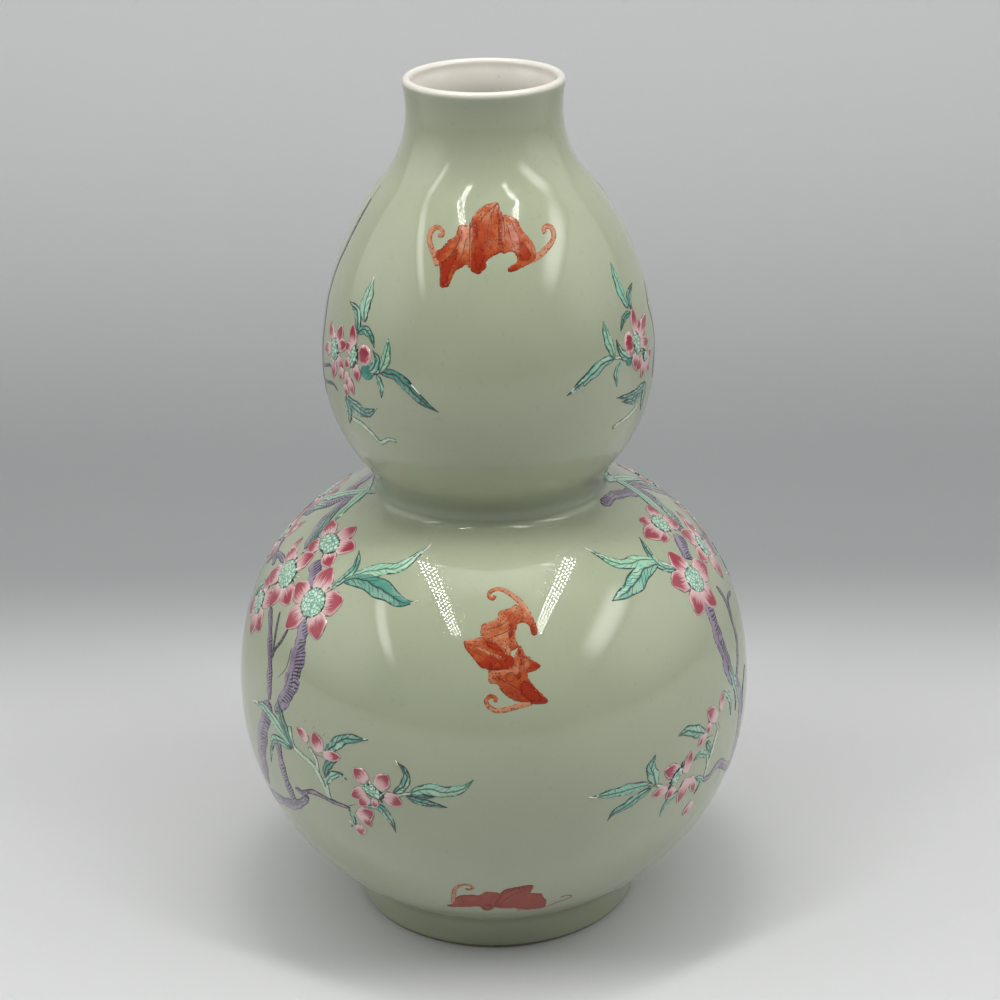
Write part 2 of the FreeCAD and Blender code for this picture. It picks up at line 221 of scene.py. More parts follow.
class Wall:
    """A face of the vase from its low end upwards, in millimetres."""

    def __init__(self, points):
        self.points = [points[0]]
        for point in points[1:]:
            if (point - self.points[-1]).length > SAME_POINT:
                self.points.append(point)
        self.runs = [0.0]
        for first, last in zip(self.points, self.points[1:]):
            self.runs.append(self.runs[-1] + (last - first).length)
        self.leans = []
        for i in range(len(self.points)):
            along = self.points[min(i + 1, len(self.points) - 1)] - self.points[max(i - 1, 0)]
            self.leans.append(Vector((along.y, -along.x)).normalized())

    def at_run(self, run):
        """The point at a distance along the wall, and the direction out of the wall there."""
        i = min(max(bisect.bisect_right(self.runs, run) - 1, 0), len(self.runs) - 2)
        share = (run - self.runs[i]) / (self.runs[i + 1] - self.runs[i])
        point = self.points[i].lerp(self.points[i + 1], share)
        return point, self.leans[i].lerp(self.leans[i + 1], share).normalized()

    def run_at(self, height):
        """The distance along the wall at a height."""
        heights = [point.y for point in self.points]
        i = min(max(bisect.bisect_right(heights, height) - 1, 0), len(heights) - 2)
        share = (height - heights[i]) / (heights[i + 1] - heights[i])
        return self.runs[i] + (self.runs[i + 1] - self.runs[i]) * share

    def offset(self, distance):
        """The face's points moved out of the wall."""
        return [p + n * distance for p, n in zip(self.points, self.leans)]


def upper_wall(radii, turns, step):
    """The curves from the waist up to the widest line of the lip."""
    waist, upper, neck, lip = radii
    _, _, bowl = joint_station("waist_slip_joint")
    _, belly, shoulder = joint_station("upper_belly_slip_joint")
    _, top, collar = joint_station("neck_slip_joint")
    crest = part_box("mouth_collar")[1].z / MM
    widest = crest - bpy.context.scene.vase_form.lip_wall / MM / 2
    bowl_turn, shoulder_turn, collar_turn = turns
    return (
        s_curve(Vector((waist, bowl)), Vector((upper, belly)), bowl_turn, step)
        + s_curve(Vector((upper, shoulder)), Vector((neck, top)), shoulder_turn, step)
        + s_curve(Vector((neck, collar)), Vector((lip, widest)), collar_turn, step * 0.5)
    )


def make_walls(scene):
    """The outer and the inner face of the whole wall."""
    form = scene.vase_form
    step = scene.vase_glaze.step / MM
    size = {name: getattr(form, name) / MM for name in VaseForm.__annotations__}
    belly_radius, belly, shoulder = joint_station("belly_slip_joint")
    waist_radius, waist, _ = joint_station("waist_slip_joint")
    upper_radius = joint_station("upper_belly_slip_joint")[0]
    neck_radius = joint_station("neck_slip_joint")[0]
    lip_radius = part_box("mouth_collar")[1].x / MM
    turns = [size["upper_bowl_turn"], size["upper_shoulder_turn"], size["collar_turn"]]

    foot_low = Vector((size["foot_radius"], size["bare_edge"]))
    foot_top = Vector((size["foot_top_radius"], size["foot_height"]))
    belly_low = Vector((belly_radius, belly))
    spread = belly_radius - foot_top.x
    bowl_round = (spread**2 + (belly - foot_top.y) ** 2) / (2 * spread)
    bowl_centre = Vector((belly_radius - bowl_round, belly))
    outside = (
        line_points(foot_low, foot_top, step * 0.5)
        + arc_points(bowl_centre, foot_top, belly_low, step)
        + shoulder_curve(
            Vector((belly_radius, shoulder)),
            Vector((waist_radius, waist)),
            size["shoulder_round"],
            size["shoulder_rise"],
            size["waist_crease"],
            step,
        )
        + upper_wall((waist_radius, upper_radius, neck_radius, lip_radius), turns, step)
    )

    belly_in = belly_radius - size["belly_wall"]
    waist_in = waist_radius - size["waist_wall"]
    inner_round = bowl_round - size["belly_wall"]
    easing_y = size["floor_height"] + size["floor_round"]
    reach = inner_round - size["floor_round"]
    easing_x = bowl_centre.x + math.sqrt(reach**2 - (belly - easing_y) ** 2)
    easing = Vector((easing_x, easing_y))
    meeting = easing + (easing - bowl_centre).normalized() * size["floor_round"]
    floor_end = Vector((easing_x, size["floor_height"]))
    inside = (
        line_points(Vector((0, size["floor_height"])), floor_end, step * 2)
        + arc_points(easing, floor_end, meeting, step)
        + arc_points(bowl_centre, meeting, Vector((belly_in, belly)), step)
        + shoulder_curve(
            Vector((belly_in, shoulder)),
            Vector((waist_in, waist)),
            size["shoulder_round"] - size["belly_wall"],
            size["shoulder_rise"],
            size["waist_crease"] + size["waist_wall"],
            step,
        )
        + upper_wall(
            (
                waist_in,
                upper_radius - size["upper_wall"],
                neck_radius - size["neck_wall"],
                lip_radius - size["lip_wall"],
            ),
            turns,
            step,
        )
    )
    return Wall(outside), Wall(inside)


def lip_arc(outer_end, inner_end, centre_height, first_angle, last_angle, grow, count=8):
    """Points over the half-round lip, between two angles from its outer side."""
    middle = Vector(((outer_end.x + inner_end.x) / 2, centre_height))
    reach = (outer_end.x - inner_end.x) / 2 + grow
    angles = [
        math.radians(first_angle + (last_angle - first_angle) * i / count)
        for i in range(count + 1)
    ]
    return [middle + Vector((math.cos(a), math.sin(a))) * reach for a in angles]


def turned_shell(name, profile, segments):
    """A closed shell turned from a closed profile of (radius, height) points in millimetres."""
    shell = bmesh.new()
    ring = [shell.verts.new((point.x * MM, 0, point.y * MM)) for point in profile]
    edges = [
        shell.edges.new((ring[i - 1], ring[i]))
        for i in range(len(ring))
        if max(ring[i - 1].co.x, ring[i].co.x) > SAME_VERTEX
    ]
    bmesh.ops.spin(
        shell,
        geom=ring + edges,
        cent=(0, 0, 0),
        axis=(0, 0, 1),
        dvec=(0, 0, 0),
        angle=math.tau,
        steps=segments,
        use_merge=True,
        use_duplicate=False,
    )
    bmesh.ops.remove_doubles(shell, verts=shell.verts, dist=SAME_VERTEX)
    bmesh.ops.recalc_face_normals(shell, faces=shell.faces)
    settle_faces(shell)
    return finish_mesh(name, shell)


def settle_faces(source):
    """Order the faces by their points, because extrude and spin leave them in any order."""
    source.verts.index_update()
    count = len(source.verts)

    def rank(face):
        points = sorted(vert.index for vert in face.verts)
        return (points[0] * count + points[-1]) * 4 * count + sum(points)

    source.faces.sort(key=rank)


def finish_mesh(name, source):
    """Make an object of a bmesh, smooth and in the scene."""
    for face in source.faces:
        face.smooth = True
    mesh = bpy.data.meshes.new(name)
    source.to_mesh(mesh)
    source.free()
    piece = bpy.data.objects.new(name, mesh)
    bpy.context.scene.collection.objects.link(piece)
    return piece


# ---------------------------------------------------------------- materials
# Among a Mix node's sockets: its share, its two colours and the colour it gives.
MIX_SHARE, MIX_FIRST, MIX_SECOND, MIX_RESULT = 0, 6, 7, 2

# Heights in metres: the waist's crease, the foot's top, where the celadon thins over the lip, and
# where the bare edge of the foot ends.
WAIST_CREASE = 0.1835
FOOT_TOP = 0.0150
LIP_THINS = (0.3375, 0.3394)
BARE_ENDS = (0.0014, 0.0018)

# Tones beside the colour settings, in linear red, green and blue.
SHADED_LINING = (0.62, 0.55, 0.47)
# The scorched edge is dark partly as painted shadow where the foot meets the floor.
SCORCHED_EDGE_AND_SHADOW = (0.16, 0.13, 0.10)
GREYED_WHITE = (0.66, 0.63, 0.56)
DRY_SLIP = (0.5, 0.46, 0.4)
# A painted highlight on the leaves' outlines.
LEAF_EDGE_GLINT = (0.66, 0.78, 0.66)
STEM_SIDE = (0.56, 0.62, 0.50)
STEM_LINE = (0.10, 0.16, 0.14)
PETAL_LINE = (0.13, 0.02, 0.035)
BUD_MIDDLE = (0.10, 0.008, 0.03)
HEART_SCALE = (0.70, 0.82, 0.66)
BARK_LINE = (0.018, 0.010, 0.026)


class Paint:
    """A material under construction, with short ways to add and join its nodes."""

    def __init__(self, name, roughness, coat=0.0, coat_roughness=0.05):
        self.material = bpy.data.materials.new(name)
        self.material.use_nodes = True
        self.tree = self.material.node_tree
        self.shader = self.tree.nodes["Principled BSDF"]
        self.shader.inputs["Roughness"].default_value = roughness
        self.shader.inputs["Coat Weight"].default_value = coat
        self.shader.inputs["Coat Roughness"].default_value = coat_roughness
        self.spot = self.add("ShaderNodeTexCoord").outputs["Object"]

    def add(self, kind, inputs=None, **settings):
        """A node with its settings, and each input either joined or set."""
        node = self.tree.nodes.new(kind)
        for setting, value in settings.items():
            setattr(node, setting, value)
        for socket, value in (inputs or {}).items():
            if isinstance(value, bpy.types.NodeSocket):
                self.tree.links.new(value, node.inputs[socket])
            else:
                node.inputs[socket].default_value = value
        return node

    def math(self, operation, *values, clamp=False):
        """A calculation with numbers or sockets."""
        inputs = dict(enumerate(values))
        return self.add("ShaderNodeMath", inputs, operation=operation, use_clamp=clamp).outputs[0]

    def plus(self, first, second, clamp=False):
        """A sum, kept within 0 and 1 if clamped."""
        return self.math("ADD", first, second, clamp=clamp)

    def times(self, first, second):
        """A product."""
        return self.math("MULTIPLY", first, second)

    def away(self, value, level):
        """How far a value is from a level, to either side."""
        return self.math("ABSOLUTE", self.math("SUBTRACT", value, level))

    def ease(self, value, low, high, start=0.0, end=1.0):
        """A smooth step from start at low to end at high."""
        inputs = {"Value": value, "From Min": low, "From Max": high, "To Min": start, "To Max": end}
        node = self.add("ShaderNodeMapRange", inputs, interpolation_type="SMOOTHSTEP")
        return node.outputs["Result"]

    def mix(self, share, first, second, blend="MIX"):
        """One colour over another."""
        first, second = (
            tone if isinstance(tone, bpy.types.NodeSocket) else (*tone, 1)
            for tone in (first, second)
        )
        inputs = {MIX_SHARE: share, MIX_FIRST: first, MIX_SECOND: second}
        node = self.add("ShaderNodeMix", inputs, data_type="RGBA", blend_type=blend)
        return node.outputs[MIX_RESULT]

    def drawn(self, name):
        """A number that a patch carries, such as its distance from the outline."""
        return self.add("ShaderNodeAttribute", attribute_name=name).outputs["Fac"]

    def noise(self, scale, detail=2.0, spot=None, roughness=0.5):
        """Cloudy variation, from 0 to 1, at so many features a metre."""
        inputs = {
            "Vector": spot or self.spot,
            "Scale": scale,
            "Detail": detail,
            "Roughness": roughness,
        }
        return self.add("ShaderNodeTexNoise", inputs).outputs["Fac"]

    def clouds(self, scale, detail, low, high, start=0.0, end=1.0):
        """Cloudy variation, eased from start to end."""
        return self.ease(self.noise(scale, detail), low, high, start, end)

    def cells(self, scale, feature="F1"):
        """Distance in a scatter of cells, from their middles or their edges."""
        inputs = {"Vector": self.spot, "Scale": scale}
        return self.add("ShaderNodeTexVoronoi", inputs, feature=feature).outputs["Distance"]

    def place(self, axis):
        """How far along an axis a spot is, in metres."""
        return self.add("ShaderNodeSeparateXYZ", {"Vector": self.spot}).outputs[axis]

    def bump(self, value, distance, strength, coat=True):
        """A fine relief of the surface, and of its coat."""
        inputs = {"Height": value, "Distance": distance, "Strength": strength}
        relief = self.add("ShaderNodeBump", inputs).outputs["Normal"]
        self.join(relief, "Normal")
        if coat:
            self.join(relief, "Coat Normal")

    def join(self, socket, target):
        """Lead a socket into the shader."""
        self.tree.links.new(socket, self.shader.inputs[target])


def celadon_glaze(colours):
    """Pale grey-green glaze: thin over the lip, deeper where it pools in the foot's crease, darker
    over the foot, and darker in the waist's crease, partly pooled glaze and partly painted shade.
    """
    paint = Paint("celadon_glaze", 0.5, coat=1.0, coat_roughness=0.008)
    height = paint.place("Z")
    # Painted shade: the waist's crease is darkened, partly for glaze pooled there and partly for
    # the shade under the upper bulb.
    waist = paint.ease(paint.away(height, WAIST_CREASE), 0.001, 0.011, 0.75, 0.0)
    foot = paint.ease(paint.away(height, FOOT_TOP), 0.0005, 0.004, 0.5, 0.0)
    foot_band = paint.ease(height, 0.012, 0.016, 0.15, 0.0)
    drift = paint.clouds(14, 3, 0.3, 0.75, 0.0, 0.22)
    pooled_and_shaded = paint.plus(paint.math("MAXIMUM", waist, foot), drift)
    pooled_and_shaded = paint.plus(pooled_and_shaded, foot_band, clamp=True)
    ground = paint.mix(pooled_and_shaded, colours.celadon, colours.celadon_deep_and_shade)
    specks = paint.clouds(420, 2, 0.62, 0.74, 0.0, 0.18)
    ground = paint.mix(specks, ground, colours.celadon_deep_and_shade)
    thin = paint.ease(height, *LIP_THINS)
    paint.join(paint.mix(thin, ground, colours.white), "Base Color")
    paint.join(paint.clouds(90, 2, 0.3, 0.7, 0.46, 0.56), "Roughness")
    paint.bump(paint.noise(38, 1), 0.0006, 0.12)
    return paint.material


def clear_glaze(colours):
    """Clear glaze over the white body, with painted shade that darkens and warms it below the lip,
    and a few specks.
    """
    paint = Paint("clear_glaze", 0.3, coat=1.0, coat_roughness=0.06)
    # Painted shade: below the top of the neck the lining is darker, as shade down inside the vase.
    warm_and_shaded = paint.mix(paint.ease(paint.place("Z"), 0.29, 0.334), SHADED_LINING, colours.white)
    cloud = paint.clouds(30, 3, 0.3, 0.7, 0.92, 1.0)
    shade = paint.add("ShaderNodeCombineColor", {"Red": cloud, "Green": cloud, "Blue": cloud})
    tone = paint.mix(1.0, warm_and_shaded, shade.outputs[0], "MULTIPLY")
    specks = paint.clouds(500, 2, 0.7, 0.78, 0.0, 0.3)
    paint.join(paint.mix(specks, tone, colours.bare_body), "Base Color")
    paint.bump(paint.noise(60, 1), 0.0008, 0.3)
    return paint.material


def fired_body(colours):
    """White porcelain: glazed on the inside and under the base, bare on the foot's edge, which is
    darkened partly as painted shadow where the foot meets the floor.
    """
    paint = Paint("fired_body", 0.3, coat=0.9, coat_roughness=0.07)
    grain = paint.noise(900, 3)
    bare = paint.ease(paint.place("Z"), *BARE_ENDS, 1.0, 0.0)
    # Painted shadow: the bare edge is dark partly for the shadow where the foot meets the floor.
    bare_edge_and_shadow = paint.mix(paint.ease(grain, 0.35, 0.7), colours.bare_body, SCORCHED_EDGE_AND_SHADOW)
    glazed = paint.mix(paint.clouds(40, 3, 0.3, 0.7, 0.0, 0.35), colours.white, GREYED_WHITE)
    paint.join(paint.mix(bare, glazed, bare_edge_and_shadow), "Base Color")
    paint.join(paint.math("MULTIPLY_ADD", bare, 0.5, 0.3), "Roughness")
    paint.bump(grain, 0.00012, 0.5, coat=False)
    return paint.material


def fired_slip(colours):
    """Dry white slip in the joints."""
    paint = Paint("fired_slip", 0.7)
    grain = paint.noise(700, 4)
    paint.join(paint.mix(paint.ease(grain, 0.3, 0.7), colours.white, DRY_SLIP), "Base Color")
    paint.bump(grain, 0.0002, 0.6)
    return paint.material


def glossy(name):
    """The start of a glossy enamel."""
    return Paint(name, 0.35, coat=0.9, coat_roughness=0.07)


def edge_line(paint, sizes, share=1.0, waver=0.4):
    """How far a spot is on the drawn outline, which wavers as a brush does."""
    width = sizes.outline * share
    sway = sizes.outline * waver
    from_edge = paint.plus(paint.drawn("rim"), paint.clouds(700, 1, 0.3, 0.7, -sway, sway))
    return paint.ease(from_edge, width * 0.75, width * 1.35, 1.0, 0.0)


def fired(paint, tone):
    """Close an enamel: its colour, and the slight unevenness that firing leaves."""
    paint.join(tone, "Base Color")
    paint.bump(paint.noise(650, 2), 0.00025, 0.35)
    return paint.material


def leaf_enamel(name, colours, sizes, body, shade, veins):
    """Leaf enamel: light in the middle of each half, darker at the margin and along the midrib,
    with painted highlights on its outline.
    """
    paint = glossy(name)
    bend = paint.times(paint.clouds(230, 1, 0.3, 0.7, -1.0, 1.0), 0.0003)
    across = paint.plus(paint.drawn("across"), bend)
    side = paint.math("ABSOLUTE", across)
    rim = paint.drawn("rim")
    cloud = paint.clouds(210, 3, 0.38, 0.66)
    base = paint.mix(cloud, colours.leaf_mint, body)
    base = paint.mix(paint.ease(paint.drawn("tint"), 0.6, 0.9, 0.0, 0.6), base, shade)
    base = paint.mix(paint.ease(across, -0.0002, 0.0003, 0.0, 0.3), base, shade)
    margin = paint.ease(rim, 0.0004, 0.0015, 0.6, 0.0)
    base = paint.mix(paint.times(margin, cloud), base, shade)
    base = paint.mix(paint.ease(side, 0.0003, 0.0009, 0.35, 0.0), base, shade)
    slant = paint.math("SUBTRACT", paint.drawn("length"), paint.times(side, 1.6))
    stripe = paint.math("PINGPONG", paint.plus(slant, paint.times(bend, 2.0)), 0.0014)
    vein = paint.ease(stripe, 0.00014, 0.00038, veins, 0.0)
    vein = paint.times(vein, paint.clouds(170, 1, 0.38, 0.50))
    rib = paint.ease(side, 0.00018, 0.00040, max(veins, 0.8), 0.0)
    rib = paint.times(rib, paint.ease(paint.drawn("along"), 0.96, 0.84))
    base = paint.mix(paint.math("MAXIMUM", vein, rib), base, colours.ink)
    # Painted highlight: pale glints break the dark outline here and there.
    painted_glint = paint.ease(rim, 0.0005, 0.0010, 0.8, 0.0)
    painted_glint = paint.times(painted_glint, paint.clouds(260, 2, 0.60, 0.68))
    edge = paint.mix(painted_glint, colours.ink, LEAF_EDGE_GLINT)
    edge = paint.mix(paint.clouds(330, 1, 0.35, 0.65, 0.0, 0.45), edge, shade)
    return fired(paint, paint.mix(edge_line(paint, sizes), base, edge))


def stem_enamel(colours, sizes):
    """Stems as pale as the glaze, with grey-green sides."""
    paint = glossy("stem_enamel")
    body = paint.mix(paint.clouds(240, 2, 0.4, 0.6), colours.leaf_pale, STEM_SIDE)
    edge = paint.mix(paint.clouds(330, 1, 0.3, 0.7), colours.ink, STEM_LINE)
    line = paint.times(edge_line(paint, sizes, 0.8), 0.85)
    return fired(paint, paint.mix(line, body, edge))


def petal_enamel(colours, sizes):
    """White and pink petal whose crimson tip runs out in streaks towards the heart."""
    paint = glossy("petal_enamel")
    along, rim, tint = (paint.drawn(name) for name in ("along", "rim", "tint"))
    side = paint.math("ABSOLUTE", paint.drawn("side"))
    stretched = paint.add(
        "ShaderNodeCombineXYZ",
        {"X": paint.drawn("across"), "Y": paint.times(along, 0.0010), "Z": tint},
    ).outputs[0]
    streak = paint.ease(paint.noise(2100, 1, spot=stretched), 0.35, 0.65)
    body = paint.mix(paint.ease(along, 0.1, 0.6), colours.petal_white, colours.petal_pink)
    body = paint.mix(paint.times(streak, 0.4), body, colours.petal_white)
    body = paint.mix(paint.ease(rim, 0.0005, 0.0012, 0.85, 0.0), body, colours.petal_white)
    start = paint.math("MULTIPLY_ADD", tint, 0.2, 0.17)
    start = paint.plus(start, paint.times(streak, 0.16))
    tip = paint.ease(along, start, paint.plus(start, 0.3))
    tip = paint.times(tip, paint.ease(side, 0.5, 0.95, 1.0, 0.0))
    tip = paint.times(tip, paint.ease(rim, 0.0003, 0.0009))
    body = paint.mix(tip, body, colours.crimson)
    line = paint.times(edge_line(paint, sizes, 0.6), paint.clouds(300, 1, 0.4, 0.6, 0.3, 0.85))
    return fired(paint, paint.mix(line, body, PETAL_LINE))


def bud_enamel(colours):
    """Closed bud, deep crimson in its middle and ragged pale pink at its margin."""
    paint = glossy("bud_enamel")
    ragged = paint.plus(paint.drawn("rim"), paint.clouds(600, 2, 0.3, 0.7, -0.0007, 0.0007))
    body = paint.mix(paint.ease(ragged, 0.0003, 0.0010), colours.petal_white, colours.petal_pink)
    body = paint.mix(paint.ease(ragged, 0.0008, 0.0019), body, colours.crimson)
    return fired(paint, paint.mix(paint.ease(ragged, 0.0022, 0.0034, 0.0, 0.6), body, BUD_MIDDLE))


def heart_enamel(colours, sizes):
    """Mint heart of a blossom, drawn with pale scales inside a dark dashed ring."""
    paint = glossy("heart_enamel")
    cells = paint.cells(600, "DISTANCE_TO_EDGE")
    cloud = paint.clouds(260, 2, 0.4, 0.65, 0.0, 0.5)
    body = paint.mix(cloud, colours.leaf_mint, colours.leaf_teal)
    body = paint.mix(paint.ease(cells, 0.10, 0.26, 0.0, 0.7), body, HEART_SCALE)
    body = paint.mix(paint.ease(cells, 0.04, 0.12, 0.65, 0.0), body, colours.leaf_deep)
    ring = paint.times(edge_line(paint, sizes, 1.3, 0.8), paint.clouds(560, 1, 0.40, 0.47))
    return fired(paint, paint.mix(ring, body, colours.ink))


def bough_enamel(colours, sizes):
    """Grey-violet bark with ink hatching on one side and an ink outline."""
    paint = Paint("bough_enamel", 0.38, coat=0.8, coat_roughness=0.08)
    side = paint.drawn("side")
    cloud = paint.clouds(190, 3, 0.42, 0.7, 0.0, 0.55)
    body = paint.mix(cloud, colours.violet, colours.violet_dark)
    body = paint.mix(paint.ease(side, 0.2, 0.95, 0.0, 0.4), body, colours.violet_dark)
    bend = paint.clouds(150, 1, 0.3, 0.7, -0.0008, 0.0008)
    slant = paint.plus(paint.plus(paint.drawn("length"), paint.times(side, 0.0016)), bend)
    hatch = paint.ease(paint.math("PINGPONG", slant, 0.00072), 0.00024, 0.00044, 1.0, 0.0)
    hatch = paint.times(hatch, paint.clouds(190, 1, 0.34, 0.42))
    hatch = paint.times(hatch, paint.ease(paint.away(side, 0.3), 0.42, 0.66, 1.0, 0.0))
    body = paint.mix(hatch, body, BARK_LINE)
    grain = paint.math("PINGPONG", paint.plus(side, paint.times(bend, 180.0)), 0.3)
    long_lines = paint.ease(grain, 0.03, 0.07, 0.85, 0.0)
    long_lines = paint.times(long_lines, paint.clouds(120, 1, 0.50, 0.56))
    body = paint.mix(long_lines, body, BARK_LINE)
    line = paint.times(edge_line(paint, sizes, 1.4, 0.6), 0.95)
    return fired(paint, paint.mix(line, body, BARK_LINE))


def bat_enamel(name, colours, sizes, soft=False):
    """Iron-red washes that deepen to one side, with specks in the thin ones.

    A soft wash fades out at its margin, and any other has a drawn outline.
    """
    paint = Paint(name, 0.55, coat=0.45, coat_roughness=0.03)
    rim = paint.drawn("rim")
    cloud = paint.ease(paint.noise(130, 4, roughness=0.65), 0.32, 0.68, -0.3, 0.3)
    depth = paint.math("MULTIPLY_ADD", paint.drawn("along"), 0.65, -0.24)
    depth = paint.plus(paint.plus(depth, paint.drawn("tint")), cloud, clamp=True)
    body = paint.mix(paint.ease(depth, 0.05, 0.5), colours.iron_pale, colours.iron_wash)
    body = paint.mix(paint.ease(depth, 0.4, 0.85), body, colours.iron_red)
    specks = paint.ease(paint.cells(860), 0.20, 0.36, 0.85, 0.0)
    specks = paint.times(specks, paint.ease(depth, 0.80, 0.55))
    specks = paint.times(specks, paint.ease(rim, 0.0042, 0.0030))
    body = paint.mix(specks, body, colours.iron_dark)
    if soft:
        ragged = paint.plus(rim, paint.clouds(900, 2, 0.3, 0.7, -0.0004, 0.0004))
        paint.join(paint.ease(ragged, 0.0002, 0.0016), "Alpha")
    else:
        line = paint.times(edge_line(paint, sizes, 0.7, 0.7), 0.75)
        body = paint.mix(line, body, colours.iron_dark)
    return fired(paint, body)


def line_enamel(name, tone):
    """A drawn line of one colour that thins and thickens."""
    paint = Paint(name, 0.35, coat=0.8, coat_roughness=0.08)
    thin = [min(0.9, channel * 1.6 + 0.03) for channel in tone]
    return fired(paint, paint.mix(paint.clouds(420, 2, 0.4, 0.75), tone, thin))


def paper_sweep(colours):
    """Pale floor with a band of painted shade behind the vase, and painted light that makes the
    backdrop lighter up high.

    From behind it is clear, so that the vase shows from every side.
    """
    paint = Paint("paper_sweep", 0.85)
    depth = paint.place("Y")
    # Painted shade: a darker band across the sweep behind the vase.
    shade = paint.times(paint.ease(depth, 0.13, 0.33), paint.ease(depth, 0.45, 0.95, 1.0, 0.0))
    # Painted light: the sweep turns lighter up the backdrop.
    plain = paint.mix(paint.ease(paint.place("Z"), 0.1, 0.9), colours.floor, colours.backdrop)
    paint.join(paint.mix(shade, plain, colours.floor_shade), "Base Color")
    behind = paint.add("ShaderNodeNewGeometry").outputs["Backfacing"]
    paint.join(paint.math("SUBTRACT", 1.0, behind), "Alpha")
    return paint.material


# ---------------------------------------------------------------- enamel patches
# In the drawing's millimetres: how finely an area is cut up, and how far inside the outline the
# blunt end of a stroke starts.
FILL_CELL = 0.9
BLUNT_END = 0.3
FEWEST_ROWS, MOST_ROWS = 5, 60
STEPS_BETWEEN_POINTS = 10


def smooth_path(points, count, closed=False):
    """Evenly spaced points on a smooth line through the given ones."""
    last = len(points) - 1
    dense = []
    for i in range(len(points) if closed else last):
        if closed:
            before, start, end, after = (points[(i + k) % len(points)] for k in (-1, 0, 1, 2))
        else:
            start, end = points[i], points[i + 1]
            before = points[i - 1] if i else start * 2 - end
            after = points[i + 2] if i + 2 <= last else end * 2 - start
        for k in range(STEPS_BETWEEN_POINTS):
            t = k / STEPS_BETWEEN_POINTS
            dense.append(
                (
                    start * 2
                    + (end - before) * t
                    + (before * 2 - start * 5 + end * 4 - after) * t * t
                    + (start * 3 - before - end * 3 + after) * t**3
                )
                * 0.5
            )
    dense.append(points[0] if closed else points[-1])
    runs = [0.0]
    for first, second in zip(dense, dense[1:]):
        runs.append(runs[-1] + (second - first).length)
    path = []
    for k in range(count):
        run = runs[-1] * k / (count if closed else count - 1)
        i = min(max(bisect.bisect_right(runs, run) - 1, 0), len(runs) - 2)
        span = max(runs[i + 1] - runs[i], 1e-9)
        path.append(dense[i].lerp(dense[i + 1], (run - runs[i]) / span))
    return path, runs[-1]


class Ground:
    """A spot on the celadon from which a motif is drawn, in millimetres to the right and up."""

    def __init__(self, wall, azimuth, height):
        self.wall = wall
        self.azimuth = math.radians(azimuth)
        self.run = wall.run_at(height)

    def flat(self, azimuth, height):
        """Where another spot of the vase lies on the flat drawing."""
        run = self.wall.run_at(height)
        radius = self.wall.at_run(run)[0].x
        return Vector(((math.radians(azimuth) - self.azimuth) * radius, run - self.run))

    def on_wall(self, across, up, lift):
        """The drawing's point on the vase, in metres."""
        point, out = self.wall.at_run(self.run + up)
        angle = self.azimuth + across / point.x
        reach = point.x + out.x * lift
        height = point.y + out.y * lift
        return Vector((reach * math.sin(angle), -reach * math.cos(angle), height)) * MM


